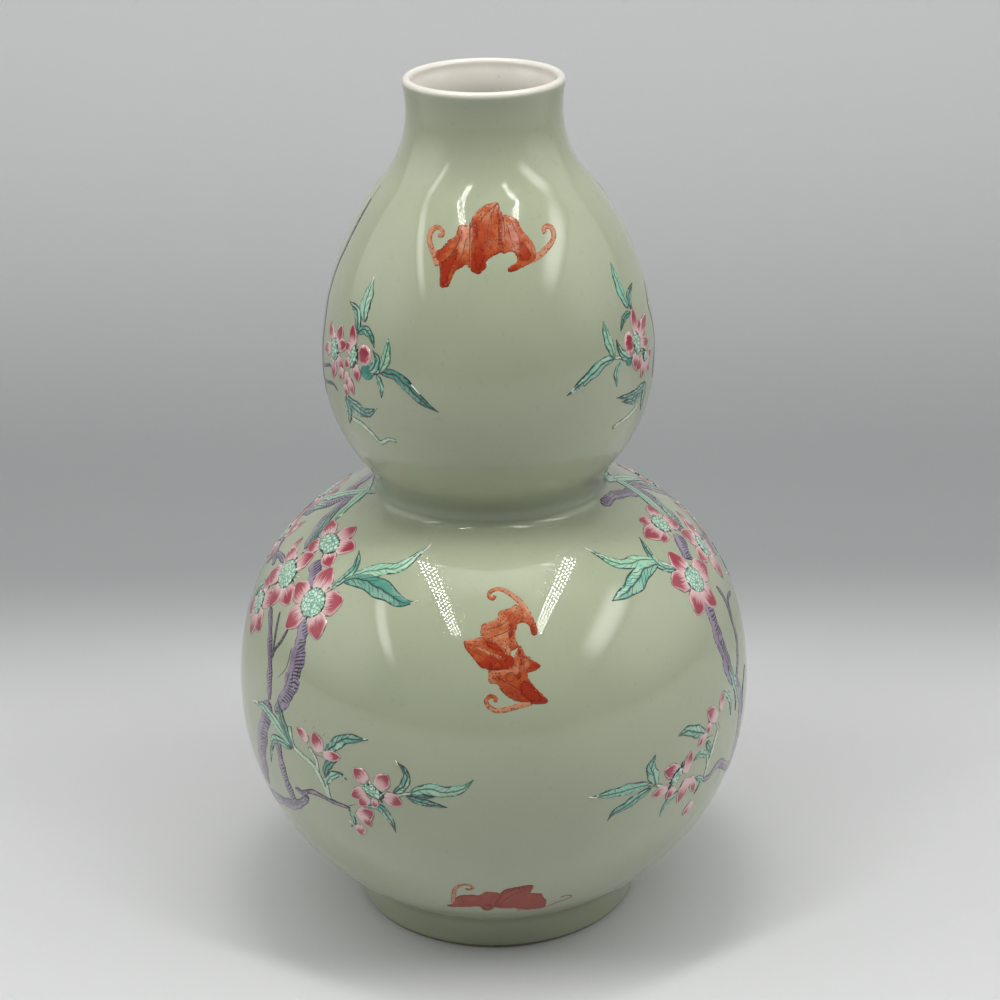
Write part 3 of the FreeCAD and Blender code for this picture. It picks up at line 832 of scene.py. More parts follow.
class Enamel:
    """The patches of one enamel, gathered into one piece."""

    LAYERS = ("rim", "along", "across", "side", "length", "tint")

    def __init__(self, scene, wall, relief, base=None):
        sizes = scene.vase_enamel
        self.wall = wall
        self.bury = -sizes.bury / MM if base is None else base
        self.roll = sizes.roll / MM
        self.body = sizes.body
        self.relief = relief / MM
        self.sheet = self.new_sheet()
        self.random = random.Random(8)

    def new_sheet(self):
        """An empty mesh whose points can carry the drawn numbers."""
        sheet = bmesh.new()
        for layer in self.LAYERS:
            sheet.verts.layers.float.new(layer)
        return sheet

    def lift(self, rim, side, relief):
        """Height of the enamel over the glaze: rolled up from the edge, and slightly domed."""
        share = min(1.0, max(0.0, rim / self.roll))
        rolled = math.sqrt(1 - (1 - share) ** 2)
        return self.bury + (relief - self.bury) * rolled * (1 - 0.2 * side * side)

    def gather(self, patch, ground):
        """Lay a flat patch on the vase and add it to the piece."""
        for vert in patch.verts:
            vert.co = ground.on_wall(*vert.co)
        mesh = bpy.data.meshes.new("patch")
        patch.to_mesh(mesh)
        patch.free()
        self.sheet.from_mesh(mesh)
        bpy.data.meshes.remove(mesh)

    def stroke(self, ground, points, half_widths, columns, spacing=0.9, relief=None, tint=None):
        """A band along a smooth line, with its half width given by the share of its length.

        Its columns stand closer at the edges, where the enamel rolls up.
        """
        rough_length = sum((b - a).length for a, b in zip(points, points[1:]))
        rows = max(FEWEST_ROWS, min(MOST_ROWS, round(rough_length / spacing) + 1))
        path, total = smooth_path(points, rows)
        patch = self.new_sheet()
        rim, along, across, side, run, hue = (patch.verts.layers.float[n] for n in self.LAYERS)
        bmesh.ops.create_grid(patch, x_segments=rows - 1, y_segments=columns, size=1)
        tint = self.random.random() if tint is None else tint
        relief = (self.relief if relief is None else relief) * (0.94 + 0.12 * self.random.random())
        for vert in patch.verts:
            i = round((vert.co.x + 1) / 2 * (rows - 1))
            lean = math.copysign(abs(vert.co.y) ** 0.7, vert.co.y)
            share = i / (rows - 1)
            half = half_widths(share)
            forward = path[min(i + 1, rows - 1)] - path[max(i - 1, 0)]
            sideways = Vector((-forward.y, forward.x)).normalized()
            spot = path[i] + sideways * half * lean
            to_end = min(share, 1 - share) * total + BLUNT_END
            edge = min(half * (1 - abs(lean)), to_end)
            vert[rim] = edge * MM
            vert[along] = share
            vert[across] = half * lean * MM
            vert[side] = lean
            vert[run] = share * total * MM
            vert[hue] = tint
            vert.co = (spot.x, spot.y, self.lift(edge, lean, relief))
        self.gather(patch, ground)

    def spray(self, spots, half_widths, **details):
        """A stroke whose points are spots of the vase."""
        ground = Ground(self.wall, *spots[0])
        self.stroke(ground, [ground.flat(*spot) for spot in spots], half_widths, **details)

    def disc(self, ground, across, up, turn=0.0):
        """An oval dome, turned by some degrees."""
        patch = self.new_sheet()
        rim, _, _, side, _, hue = (patch.verts.layers.float[n] for n in self.LAYERS)
        bmesh.ops.create_grid(patch, x_segments=10, y_segments=10, size=1)
        tint = self.random.random()
        lean = Matrix.Rotation(-math.radians(turn), 2)
        for vert in patch.verts:
            x, y = vert.co.x, vert.co.y
            far = max(abs(x), abs(y))
            if far > 0:
                x, y = Vector((x, y)).normalized() * far
            edge = (1 - far) * min(across, up)
            vert[rim] = edge * MM
            vert[side] = far
            vert[hue] = tint
            spot = Vector((x * across, y * up)) @ lean
            vert.co = (spot.x, spot.y, self.lift(edge, far, self.relief))
        self.gather(patch, ground)

    def fill(self, ground, outline, tint, deepen, relief):
        """An area inside a smooth closed outline, that deepens towards a direction."""
        points = [Vector(point) for point in outline]
        edge_path, _ = smooth_path(points, len(points) * 3, closed=True)
        patch = self.new_sheet()
        rim, along, _, _, _, hue = (patch.verts.layers.float[n] for n in self.LAYERS)
        face = patch.faces.new([patch.verts.new((p.x, p.y, 0)) for p in edge_path])
        face.normal_update()
        if face.normal.z < 0:
            face.normal_flip()
        bmesh.ops.triangulate(patch, faces=patch.faces, ngon_method="BEAUTY")
        low = Vector((min(p.x for p in edge_path), min(p.y for p in edge_path)))
        high = Vector((max(p.x for p in edge_path), max(p.y for p in edge_path)))
        for axis, normal in enumerate(((1, 0, 0), (0, 1, 0))):
            cuts = int((high[axis] - low[axis]) / FILL_CELL)
            for k in range(1, cuts + 1):
                place = [0.0, 0.0, 0.0]
                place[axis] = low[axis] + k * FILL_CELL
                bmesh.ops.bisect_plane(
                    patch,
                    geom=patch.verts[:] + patch.edges[:] + patch.faces[:],
                    plane_co=place,
                    plane_no=normal,
                    dist=1e-5,
                )
        sides = list(zip(edge_path, edge_path[1:] + edge_path[:1]))
        aim = Vector((math.cos(math.radians(deepen)), math.sin(math.radians(deepen))))
        nearest = min(p.dot(aim) for p in edge_path)
        farthest = max(p.dot(aim) for p in edge_path)
        for vert in patch.verts:
            edge = min(distance_to_line(vert.co.xy, a, b) for a, b in sides)
            vert[rim] = edge * MM
            vert[along] = (vert.co.xy.dot(aim) - nearest) / (farthest - nearest)
            vert[hue] = tint
            vert.co.z = self.lift(edge, 0, relief)
        self.gather(patch, ground)

    def finish(self, name, material):
        """Repeat the patches on the far side, close them below, and say where they belong."""
        geometry = self.sheet.verts[:] + self.sheet.edges[:] + self.sheet.faces[:]
        copy = bmesh.ops.duplicate(self.sheet, geom=geometry)
        bmesh.ops.rotate(
            self.sheet,
            verts=[part for part in copy["geom"] if isinstance(part, bmesh.types.BMVert)],
            cent=(0, 0, 0),
            matrix=Matrix.Rotation(math.pi, 3, "Z"),
        )
        piece = finish_mesh(name, self.sheet)
        thick = piece.modifiers.new("closed_below", "SOLIDIFY")
        thick.thickness = self.body
        thick.offset = -1
        piece.data.materials.append(material)
        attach(piece, "root")


def distance_to_line(spot, start, end):
    """Distance in the drawing from a spot to a straight side."""
    side = end - start
    span = side.dot(side)
    share = min(1.0, max(0.0, (spot - start).dot(side) / span)) if span else 0.0
    return (spot - start - side * share).length


# ---------------------------------------------------------------- brush shapes
def leaf_shape(width, wave=0.0):
    """A leaf: a narrow foot, widest before the middle, a wavy margin and a long tip."""
    def half(share):
        swell = (share**0.6) * ((1 - share) ** 0.9) * 2.03
        ripple = 1 + wave * math.sin(share * 19 + width)
        return max(0.22, width / 2 * swell * ripple)
    return half


def petal_shape(width):
    """A petal: broad at the heart, broadest past the middle, and pointed."""
    def half(share):
        root = 0.62 + 0.38 * math.sin(min(1.0, share / 0.55) * math.pi / 2)
        tip = min(1.0, (1 - share) / 0.42) ** 0.62
        return max(0.14, width / 2 * root * tip)
    return half


def stem_shape(start, end):
    """A stem that tapers evenly."""
    return lambda share: start / 2 + (end - start) / 2 * share


def bough_shape(start, end, knots):
    """A bough that tapers and swells at its knots."""
    def half(share):
        swell = 1 + 0.13 * math.sin(share * knots * math.tau) + 0.06 * math.sin(share * 37)
        tips = min(1.0, 0.45 + share * 9, 0.45 + (1 - share) * 9)
        return (start + (end - start) * share) / 2 * swell * tips
    return half


# ---------------------------------------------------------------- layout of the motifs
# Leaves: broadest width in millimetres, then spots from the foot to the tip.
PALE_LEAVES = [
    # upper bulb, left spray
    (6.4, (-47.5, 258.5), (-49, 263), (-48.2, 268.5), (-47.8, 274)),
    (4.8, (-38.5, 242), (-36.3, 247), (-35.7, 255)),
    (3.2, (-40, 241), (-38, 237), (-37.8, 232.5)),
    # upper bulb, right spray
    (5.0, (59, 259), (57, 265.5), (56.3, 271), (56.5, 276.5)),
    (4.8, (47.5, 244), (45.5, 249), (44.3, 254), (44, 258.5)),
    (3.2, (50, 241.5), (47.5, 238), (47.7, 232.8)),
    # lower bulb, left spray
    (6.4, (-102, 165.5), (-95, 171), (-90, 174.5), (-84, 177), (-74.5, 179.3)),
    (6.6, (-45, 162), (-40, 164.8), (-35.5, 166.5), (-30, 168.3), (-23.5, 174)),
    (5.4, (-48, 98), (-52.5, 101.5), (-57, 105), (-61, 106.3), (-66, 104)),
    (3.8, (-38.4, 88.5), (-37, 93), (-34.5, 95), (-32.8, 93.5)),
    (5.8, (-18, 94), (-14, 96.4), (-10.5, 96), (-7, 97.5), (-4.3, 101.5)),
    (2.8, (-33, 80.5), (-32.2, 76), (-33.2, 72)),
    # lower bulb, right spray
    (6.0, (107, 170.5), (100, 175), (92, 178), (82, 182), (73, 184.5)),
    (6.2, (56, 162), (50, 164), (44.5, 164.7), (40.5, 166.5), (35, 171)),
    (4.0, (61, 110), (64, 104), (64, 97)),
    (4.0, (53.2, 88.5), (50.5, 91), (47.8, 90)),
    (5.2, (34.5, 89), (30.5, 89.6), (26.5, 89.6), (20.5, 90)),
    (3.2, (45, 79), (41.5, 77.8), (39.6, 75), (39, 71)),
    (3.0, (49.2, 81.5), (52, 78), (50, 73)),
]
TEAL_LEAVES = [
    # upper bulb, left spray
    (4.6, (-50.3, 254), (-51.5, 259), (-53, 261.5), (-58.5, 263.4)),
    (4.2, (-51, 253.5), (-47.5, 255.8), (-43.8, 254.4), (-41.6, 250.5)),
    (4.8, (-46.5, 240.8), (-42, 242), (-40, 246.5), (-42.4, 249.5)),
    (5.0, (-39, 242), (-33, 242.4), (-28.5, 239.8), (-24.5, 236), (-21, 233.2), (-16.5, 230.5)),
    (5.0, (-56.5, 227.7), (-51, 226), (-45, 224.8), (-40, 227.8)),
    (5.0, (-56.5, 227.7), (-55.5, 223), (-57, 216.5)),
    (3.4, (-55.5, 226.5), (-50.5, 223.6), (-43.5, 223.4)),
    # upper bulb, right spray
    (3.8, (61, 258), (61.5, 263), (67, 266.3)),
    (3.4, (60, 257.5), (55.3, 256.5), (52, 252.6)),
    (4.2, (57.5, 240.8), (53, 242.5), (50.3, 246), (49, 250.3)),
    (5.2, (47.5, 244), (42, 243.6), (37, 241), (32, 238), (26.5, 234.6)),
    (3.6, (66.5, 228.3), (58, 226.4), (47.7, 228.2)),
    (3.6, (66.5, 228.3), (60, 223.6), (50.5, 225.8)),
    (5.2, (67, 228), (66.5, 222), (66.5, 216.5)),
    # lower bulb, left spray
    (4.6, (-88, 169.8), (-95.5, 165.5), (-98, 160.5)),
    (4.4, (-49.1, 157.4), (-46.4, 161.8), (-45.6, 164.7), (-47, 167), (-48.8, 168.6)),
    (8.8, (-46.5, 160.2), (-41, 162.4), (-35.3, 161.9), (-30, 160.7), (-25.5, 159.2), (-21, 160)),
    (5.0, (-75, 145), (-81, 141.7), (-83, 135.5), (-82, 131)),
    (5.2, (-48.3, 97.6), (-51.5, 103.5), (-53.4, 109), (-54.8, 114)),
    (4.4, (-48.9, 96.9), (-52.9, 97.4), (-56, 96), (-57.3, 92), (-58.6, 84)),
    (5.4, (-38.5, 100.6), (-36.8, 104.8), (-34.3, 109), (-31.8, 111), (-27.5, 112.2)),
    (4.2, (-38.7, 91.8), (-38.3, 95.5), (-36.8, 99), (-34.6, 102)),
    (4.2, (-29.3, 84.8), (-26, 85.6), (-24, 83.7), (-22.6, 79.7), (-21.9, 74.8)),
    (4.0, (-21.9, 92.4), (-19.8, 95.2), (-18.6, 99.6), (-19, 103), (-20.6, 105.8)),
    (3.4, (-18.9, 92.5), (-16.4, 90.9), (-13.3, 90.3), (-10, 89.4)),
    (2.6, (-18, 93.3), (-15.4, 93), (-12.6, 93.4)),
    # lower bulb, right spray
    (5.0, (99, 172.5), (104, 168.5), (107, 165), (109.5, 159.5)),
    (4.6, (61.2, 156.6), (57, 159), (55.4, 162), (56.2, 165), (58.2, 168.6)),
    (8.6, (55.5, 160.8), (50, 161.5), (46, 160.3), (41.5, 158.5), (33.6, 156.8)),
    (5.4, (64.8, 117), (67, 109), (68, 103), (67, 96.5)),
    (4.6, (78, 107), (74.5, 100), (73, 90)),
    (6.0, (52.6, 98.3), (49, 101.6), (46, 104), (42.6, 104)),
    (4.0, (52.5, 94.5), (53.6, 92), (54, 88.8)),
    (6.2, (36.6, 86.8), (35.7, 91.5), (35, 95.5), (36.2, 100.4)),
    (4.8, (35.3, 86.6), (32, 84.8), (29, 82.5), (26, 80.8), (24.6, 77.6)),
]
# Stems: widths at the foot and the tip, then spots.
STEMS = [
    (2.6, 1.6, (-54.5, 219.5), (-49, 219), (-44, 216), (-41, 213.4), (-37, 215.8), (-33.5, 216)),
    (2.8, 1.6, (62.5, 220.5), (57, 218), (51, 217), (47.5, 216)),
    (2.4, 1.4, (-41.5, 243), (-40, 242), (-37.5, 242.2)),
    (2.4, 1.4, (56, 242), (51, 243), (47, 244)),
    (2.6, 2.2, (-49.5, 157), (-47.5, 159.8), (-44.5, 162.3)),
    (2.6, 2.2, (61.3, 156.3), (58.5, 159.5), (55, 161.8)),
    (
        2.6, 2.4, (-49.8, 106), (-48.5, 99), (-45.3, 96.5), (-42.2, 94.6), (-40.3, 90.5),
        (-38, 82.5),
    ),
    (1.6, 2.0, (-43.2, 101.5), (-41.3, 98), (-40.7, 92.5)),
    (2.0, 1.6, (-38.7, 91.5), (-38.3, 87), (-38, 83)),
    (2.6, 2.2, (57.5, 96), (55.3, 89.5), (54, 84), (53, 78.5)),
    (1.8, 1.6, (53, 89), (53.6, 84), (53, 79)),
    (1.8, 1.4, (-22.5, 90.5), (-20, 92.5), (-17.5, 94)),
    (1.8, 1.4, (38.5, 85.5), (36.5, 87), (34, 89)),
]
# Boughs: widths at the start and the end, number of knots, then spots.
BOUGHS = [
    # upper bulb
    (
        3.4, 2.2, 4, (-78, 221), (-79.5, 230), (-80, 240), (-79.5, 250), (-81, 260), (-80.5, 268),
        (-78.5, 277), (-78, 287), (-79, 296),
    ),
    (2.2, 1.2, 2, (-82, 231), (-74, 234), (-68, 236), (-64.5, 234)),
    (2.2, 1.2, 2, (-80, 226), (-72, 228), (-66, 229.5), (-62, 228)),
    (2.8, 1.4, 3, (77, 226), (80, 233), (84, 239), (82, 247), (79, 254), (83, 262)),
    # lower bulb, left spray
    (5.0, 6.2, 3, (-118, 177), (-108, 177), (-100, 176), (-93, 174.3), (-86, 174)),
    (
        6.2, 6.8, 3, (-87, 174.6), (-82, 172.6), (-79, 169.6), (-76, 166.5), (-72, 163.4),
        (-67, 160.5),
    ),
    (7.4, 8.4, 2, (-62, 161), (-59, 159), (-55, 155.5)),
    (6.2, 10.6, 2, (-52, 146), (-51, 138), (-50.2, 131), (-50.5, 124.5)),
    (10.6, 5.0, 2, (-50.4, 126), (-51, 119.5), (-53, 113.5), (-55.5, 108)),
    (3.4, 4.4, 3, (-97, 159), (-92, 155.5), (-88.5, 151.5), (-82, 149.5)),
    (1.5, 2.2, 1, (-57, 139.5), (-58, 134.5), (-59.3, 131), (-60.4, 127)),
    (1.5, 2.2, 1, (-63.3, 142.5), (-61.7, 136.5), (-60.6, 132), (-59.6, 127)),
    (
        3.6, 5.0, 3, (-69, 141), (-65.3, 136.6), (-62.6, 131), (-60.4, 125), (-59.3, 118),
        (-58.3, 111),
    ),
    (8.5, 11.5, 3, (-58, 110), (-60, 101), (-62.5, 90), (-64.5, 79), (-66.5, 68)),
    (4.6, 6.0, 3, (-54.5, 97), (-53.2, 84), (-52, 76), (-51, 70)),
    (8.0, 3.6, 2, (-67.5, 61.5), (-59, 65.5), (-54, 68), (-48.6, 73), (-45, 78.5)),
    (
        3.0, 2.2, 3, (-49.4, 79.4), (-46.9, 79), (-44.6, 81.2), (-42.3, 82.2), (-37.7, 81.5),
        (-32.6, 81.2),
    ),
    # lower bulb, right spray
    (3.6, 2.2, 1, (66, 190.8), (71, 188.6), (79, 186)),
    (5.4, 6.6, 3, (98, 176.4), (93, 174.3), (91, 170.8), (88, 168.4), (85, 164.8), (79, 162)),
    (7.4, 8.0, 1, (76, 162), (72, 159.6), (69.5, 156)),
    (7.4, 8.2, 3, (65, 144), (64, 136), (63.6, 129.5), (64.3, 123), (64.9, 116), (66.5, 109)),
    (2.6, 3.4, 2, (74, 143), (75, 137), (74, 129), (74, 122), (71.5, 114), (68.5, 108)),
    (1.8, 2.4, 1, (82.5, 135), (77, 135.5), (74.3, 129)),
    (3.0, 3.6, 3, (109, 158), (105, 154.5), (97, 152.8), (92, 149.5), (90, 145)),
    (7.0, 9.0, 3, (67, 110), (71.5, 98), (71.5, 86), (71.5, 76), (72, 66)),
    (6.4, 3.0, 2, (73, 72), (68.5, 70), (64, 74.5), (59.5, 79), (55, 76.6), (51.8, 79)),
]
# Hair lines: width, then spots.
INK_LINES = [
    (1.6, (-79, 301), (-76.5, 289), (-77, 277)),
    (0.7, (104, 175.5), (80, 187), (59, 194)),
    (1.5, (-53.4, 134.4), (-53.2, 129.6), (-53.7, 126), (-56, 121.3)),
    (1.2, (-66, 62.5), (-61, 67.5), (-55, 69.6)),
    (0.8, (-49, 97), (-53, 96), (-56.2, 92.3), (-58.8, 85)),
    (1.0, (-43.6, 101.3), (-41.6, 99.6), (-38.8, 99.8)),
    (0.9, (-33.2, 81.9), (-30.9, 83.8)),
    (0.8, (-36.9, 107.6), (-36.4, 105)),
    (0.8, (-31.2, 95.7), (-28.4, 94), (-25.2, 92.6)),
    (0.8, (-19.3, 94.4), (-18.4, 93.2), (-17.2, 94)),
    (0.5, (-44.9, 110.6), (-44.3, 112.4)),
    (0.5, (-42.2, 109.8), (-41.6, 111.4)),
    (0.5, (-39.2, 108.4), (-38.4, 110)),
    (0.6, (-35.4, 215.9), (-33.9, 216.1)),
    (0.9, (52.6, 96.3), (55.4, 95.4)),
    (0.8, (56.2, 99.8), (57.4, 96.2)),
    (0.8, (57.6, 99), (58.6, 95.4)),
    (0.6, (47.5, 83.2), (49.6, 80), (49.8, 74.6)),
    (0.7, (39.6, 92.8), (43, 89.4), (46, 91.2)),
    (0.9, (35.6, 87.6), (33.2, 87), (31, 85.6)),
]
# White dabs: width, then spots.
WHITE_DABS = [
    (0.7, (-30.5, 168.8), (-28.2, 170.4)),
    (0.7, (-27.6, 169.6), (-25.6, 172.4)),
    (0.8, (-25.4, 171.8), (-23.4, 174.2)),
    (0.7, (-22.6, 159.3), (-20.6, 160.4)),
    (0.7, (-47.9, 271.5), (-47.7, 274.6)),
    (0.6, (-26, 239.8), (-23, 236.6)),
    (0.7, (39, 168.4), (36.6, 169.4)),
    (0.9, (36.6, 169.8), (34.4, 171.4)),
    (0.7, (21.8, 89.4), (20, 90.2)),
    (0.6, (-20.4, 104.6), (-21, 106.4)),
    (0.6, (-33.4, 75), (-32, 73.4)),
    (0.6, (46.4, 72.2), (47.6, 69.6)),
    (0.7, (-63.8, 105.4), (-66.6, 104.4)),
]
# Blossoms: centre, radii and turn of the heart, then petals as (direction, reach, width).
BLOSSOMS = [
    ((-64.3, 243.7), (3.8, 4.4, 0), [
        (129, 11, 5.6), (67, 11.6, 5.6), (26, 10.6, 5.2), (-33, 10, 5.2), (-95, 11.6, 5.6),
        (-164, 12, 5.4),
    ]),
    ((-51.3, 244.7), (2.4, 4.8, -10), [
        (101, 12.4, 5.4), (150, 7.6, 4.6), (-74, 9.5, 5), (-135, 7.5, 4.4),
    ]),
    ((61, 245), (2.8, 4.6, 0), [
        (86, 14, 5.4), (62, 9.5, 4.8), (33, 15, 5.4), (18, 9, 5), (-13, 11.5, 5.4),
        (-110, 9.5, 5),
    ]),
    ((66.6, 238.6), (2.6, 2.6, 0), [
        (-62, 8.5, 5), (-5, 8, 4.6), (-118, 8.6, 4.8), (-160, 9.4, 5),
    ]),
    ((-63, 166.4), (7.2, 4.5, -2), [
        (152, 14.4, 8.6), (74, 12.4, 9), (14, 14.6, 8), (-32, 13, 7.4), (-150, 12.6, 8),
    ]),
    ((-70.1, 152.8), (7.4, 5.8, -12), [
        (62, 14.8, 9), (150, 14, 9), (-155, 16.5, 9.4), (-28, 16.4, 9.6), (-85, 14.6, 9),
    ]),
    ((-52.4, 151), (6.9, 6.3, 0), [
        (95, 15.6, 11), (24, 14.8, 11.2), (-46, 15.8, 10), (-124, 16.6, 10), (170, 15.4, 10),
    ]),
    ((-76.5, 137.5), (4.6, 5.2, 0), [
        (35, 14, 9), (-30, 14, 9), (-80, 13, 9), (110, 13, 8), (-150, 14, 9),
    ]),
    ((73.5, 167.3), (5.2, 4.6, -4), [
        (133, 10.6, 8), (41, 11.4, 8.4), (176, 15.6, 8.4), (-152, 11.4, 7.4), (-30, 13.4, 8.4),
    ]),
    ((65.2, 150.8), (6.0, 5.6, 0), [
        (97, 15, 10.4), (163, 15, 9.8), (-136, 15.6, 10.2), (-67, 15, 10.2), (-2, 15.6, 10.8),
    ]),
    ((83.3, 153.4), (4.6, 5.0, 0), [
        (41, 15, 9), (120, 13.6, 9), (-100, 15, 9), (-30, 14, 8), (180, 12, 8),
    ]),
    ((-26.4, 91.6), (4.8, 2.6, -22), []),
    ((42.3, 87.2), (4.6, 2.2, 48), []),
]
# Petals that stand alone or in loose groups: width, root and tip.
LOOSE_PETALS = [
    (4.0, (-58, 238.5), (-59.6, 233)),
    (3.8, (-55, 238), (-55, 232.2)),
    (4.4, (-53.8, 236), (-51.4, 230)),
    (3.6, (-56.4, 233), (-55, 227.8)),
    (4.4, (-90, 158.5), (-88.4, 163.6)),
    (4.0, (-78, 156.6), (-78.4, 162.2)),
    (4.6, (-43.4, 104), (-47.3, 107.2)),
    (7.0, (-39.8, 101.2), (-42, 108.6)),
    (5.0, (-38.9, 101), (-34.2, 102.4)),
    (6.8, (-27.8, 95), (-31, 99.6)),
    (7.0, (-25.4, 93.4), (-22.7, 100)),
    (6.0, (-28.2, 91), (-31.9, 87)),
    (5.4, (-27.6, 88.8), (-30, 84)),
    (6.6, (-23.6, 91), (-19.7, 88.4)),
    (3.8, (-26, 89), (-26.1, 84.6)),
    (7.0, (-30.8, 78), (-26.6, 82.8)),
    (5.0, (-29.8, 79.6), (-27.6, 75.2)),
    (4.4, (-31.2, 74.4), (-30.7, 69.2)),
    (4.0, (58.8, 103), (60.4, 110)),
    (7.0, (56.8, 101.4), (53.4, 107.4)),
    (4.0, (54.2, 101.6), (52.4, 98)),
    (3.8, (52.2, 98.6), (49.3, 95)),
    (7.0, (43.2, 88.8), (38.6, 91.8)),
    (5.4, (45, 86.4), (47.2, 95)),
    (5.0, (40, 83.6), (35.6, 82.8)),
    (4.8, (42.2, 82.4), (39.8, 78.6)),
    (6.8, (46.4, 83.4), (44, 73.6)),
    (4.4, (47.6, 83), (49.4, 74.6)),
    (5.2, (50.2, 69.6), (47.6, 64.6)),
]
# Buds: spot, radii.
BUDS = [
    ((-46, 246.6), (3.6, 4.0)),
    ((56, 246.6), (3.4, 4.6)),
    ((-30.4, 72.4), (2.0, 2.4)),
]
# Green calyxes: spot, radii.
CALYXES = [
    ((-44.4, 240.6), (3.4, 2.8)),
    ((55.2, 240.6), (2.4, 2.2)),
    ((-37.4, 104.6), (1.6, 1.6)),
]

# Bats: the spot each is drawn from, outlined areas and then soft ones as (wash, direction in
# which it deepens, outline), curling tips as (width at the root and at the tip, line), and drawn
# lines.
UPPER_BAT = (
    (4.5, 286),
    [
        (0.35, -110, [
            (-8.7, 12), (-9.8, 11), (-12, 11.3), (-13.5, 10.5), (-14, 9), (-15, 6.7), (-17, 5.5),
            (-18.5, 4), (-20.3, 2), (-22, 1), (-23, -1.2), (-22.3, -3), (-21.4, -4.5),
            (-21.2, -7.5), (-21.7, -10.4), (-21.2, -12.3), (-18.3, -12), (-16.7, -9.4),
            (-15.5, -6.8), (-14.3, -5.6), (-12.8, -4.8), (-11.4, -3.8), (-9.6, -5), (-7.5, 2),
        ]),
        (0.25, -70, [
            (2.4, 14), (6.6, 13.6), (8.4, 12), (9.7, 8.8), (11.4, 6.5), (12.8, 4.7), (13.8, 2.5),
            (14.5, 0.5), (14.4, -2.6), (11.8, -4.3), (8, -5.8), (5, -7), (3.5, -6.5), (3.3, -5.3),
            (4.9, -4.1), (7, -3), (6.5, -0.5), (5, 0.7), (1.5, 1),
        ]),
        (0.55, -120, [
            (1.2, 20), (2.2, 17.4), (3, 14.2), (3.1, 9), (3.1, 3.7), (2.9, 0.8), (1, 0.4),
            (-1.1, -0.5), (-2.6, -1.3), (-3.8, -2.6), (-3.9, -4.4), (-5, -5.6), (-6.5, -7),
            (-8, -7), (-9.3, -6.2), (-10, -4.8), (-9.6, 1.8), (-9, 7), (-8.7, 12.2), (-7.8, 14.5),
            (-6, 16.8), (-3.6, 18.7), (-1.4, 19.5),
        ]),
    ],
    [
        (0.95, -150, [
            (-21.4, -3.9), (-18.2, -0.8), (-14.2, 3), (-13.3, 0.9), (-14.6, -2.8), (-16.2, -5.7),
            (-18.3, -11.4), (-20.3, -12.2), (-21.5, -10.6),
        ]),
        (0.85, -20, [
            (7.9, 4.8), (10.2, 4.4), (12.1, 1.6), (13.2, -1.6), (11.5, -3.3), (8.5, -3.9),
            (7.2, -0.6),
        ]),
        (0.95, 180, [(-8.3, 11.8), (-6.8, 13.7), (-5.5, 10.7), (-6.1, 6.2), (-8, 5.1)]),
        (1.0, -90, [(-8.5, 3.2), (-4.5, 2.9), (-4, -1.2), (-5.7, -5.4), (-8, -6), (-9.1, -1.2)]),
        (1.05, 0, [(1.2, 19.4), (2.5, 15.6), (2.8, 9.8), (2.6, 3), (0.5, 2.4), (0.2, 11)]),
        (0.3, -90, [(-4, 4.3), (-2.7, 5.6), (-1.4, 4.3), (-2.7, 3)]),
    ],
    [
        (3.2, 2.0, [
            (-21.8, -4.5), (-23.4, 0), (-24.6, 3.4), (-24.5, 6.3), (-23.2, 8.6), (-21, 9.5),
            (-19.4, 8.3), (-19.8, 6.6), (-21.2, 6.6),
        ]),
        (3.4, 2.2, [
            (11.5, -3), (15.5, -1.6), (19, 0.8), (21.4, 3.2), (22, 5.7), (21, 8), (19.1, 8.6),
            (17.9, 7.7), (18.5, 6.2),
        ]),
    ],
    [
        (0.5, [(1, 19.2), (-1.5, 14), (-3, 8), (-3.4, 2)]),
        (0.5, [(0.6, 18.6), (-3.5, 15), (-6.5, 10), (-8, 4)]),
        (0.5, [(1.6, 18), (1.4, 12), (0.8, 6), (0.6, 2)]),
        (0.6, [(-9, 12), (-9.4, 6), (-9.8, 0), (-10, -4.6)]),
        (0.6, [(3, 14), (3.2, 8), (3, 1)]),
        (0.5, [(-4.1, 4.3), (-2.7, 5.8), (-1.2, 4.3), (-2.7, 2.9), (-4.1, 4.3)]),
        (0.4, [(-8.5, 4.7), (-8, 5.2), (-7.5, 4.7), (-8, 4.2), (-8.5, 4.7)]),
        (0.4, [(0.3, 3.6), (0.9, 4.2), (1.5, 3.6), (0.9, 3), (0.3, 3.6)]),
        (0.4, [(-5, 13), (-4, 7), (-5, 1), (-6.2, -4)]),
        (0.4, [(-1, 15), (-1.6, 9), (-0.6, 5)]),
        (0.5, [(-12, 9), (-14, 4), (-16.5, 0), (-19.5, -3), (-20.5, -8)]),
        (0.5, [(-10.8, 6), (-12.5, 0), (-15, -4)]),
        (0.5, [(6, 12), (8, 6), (9.5, 0), (11, -3.4)]),
        (0.5, [(4.2, 11), (5.4, 5), (7.4, -1)]),
        (0.5, [(-7.6, 1), (-7.8, -3), (-7.4, -6)]),
    ],
)
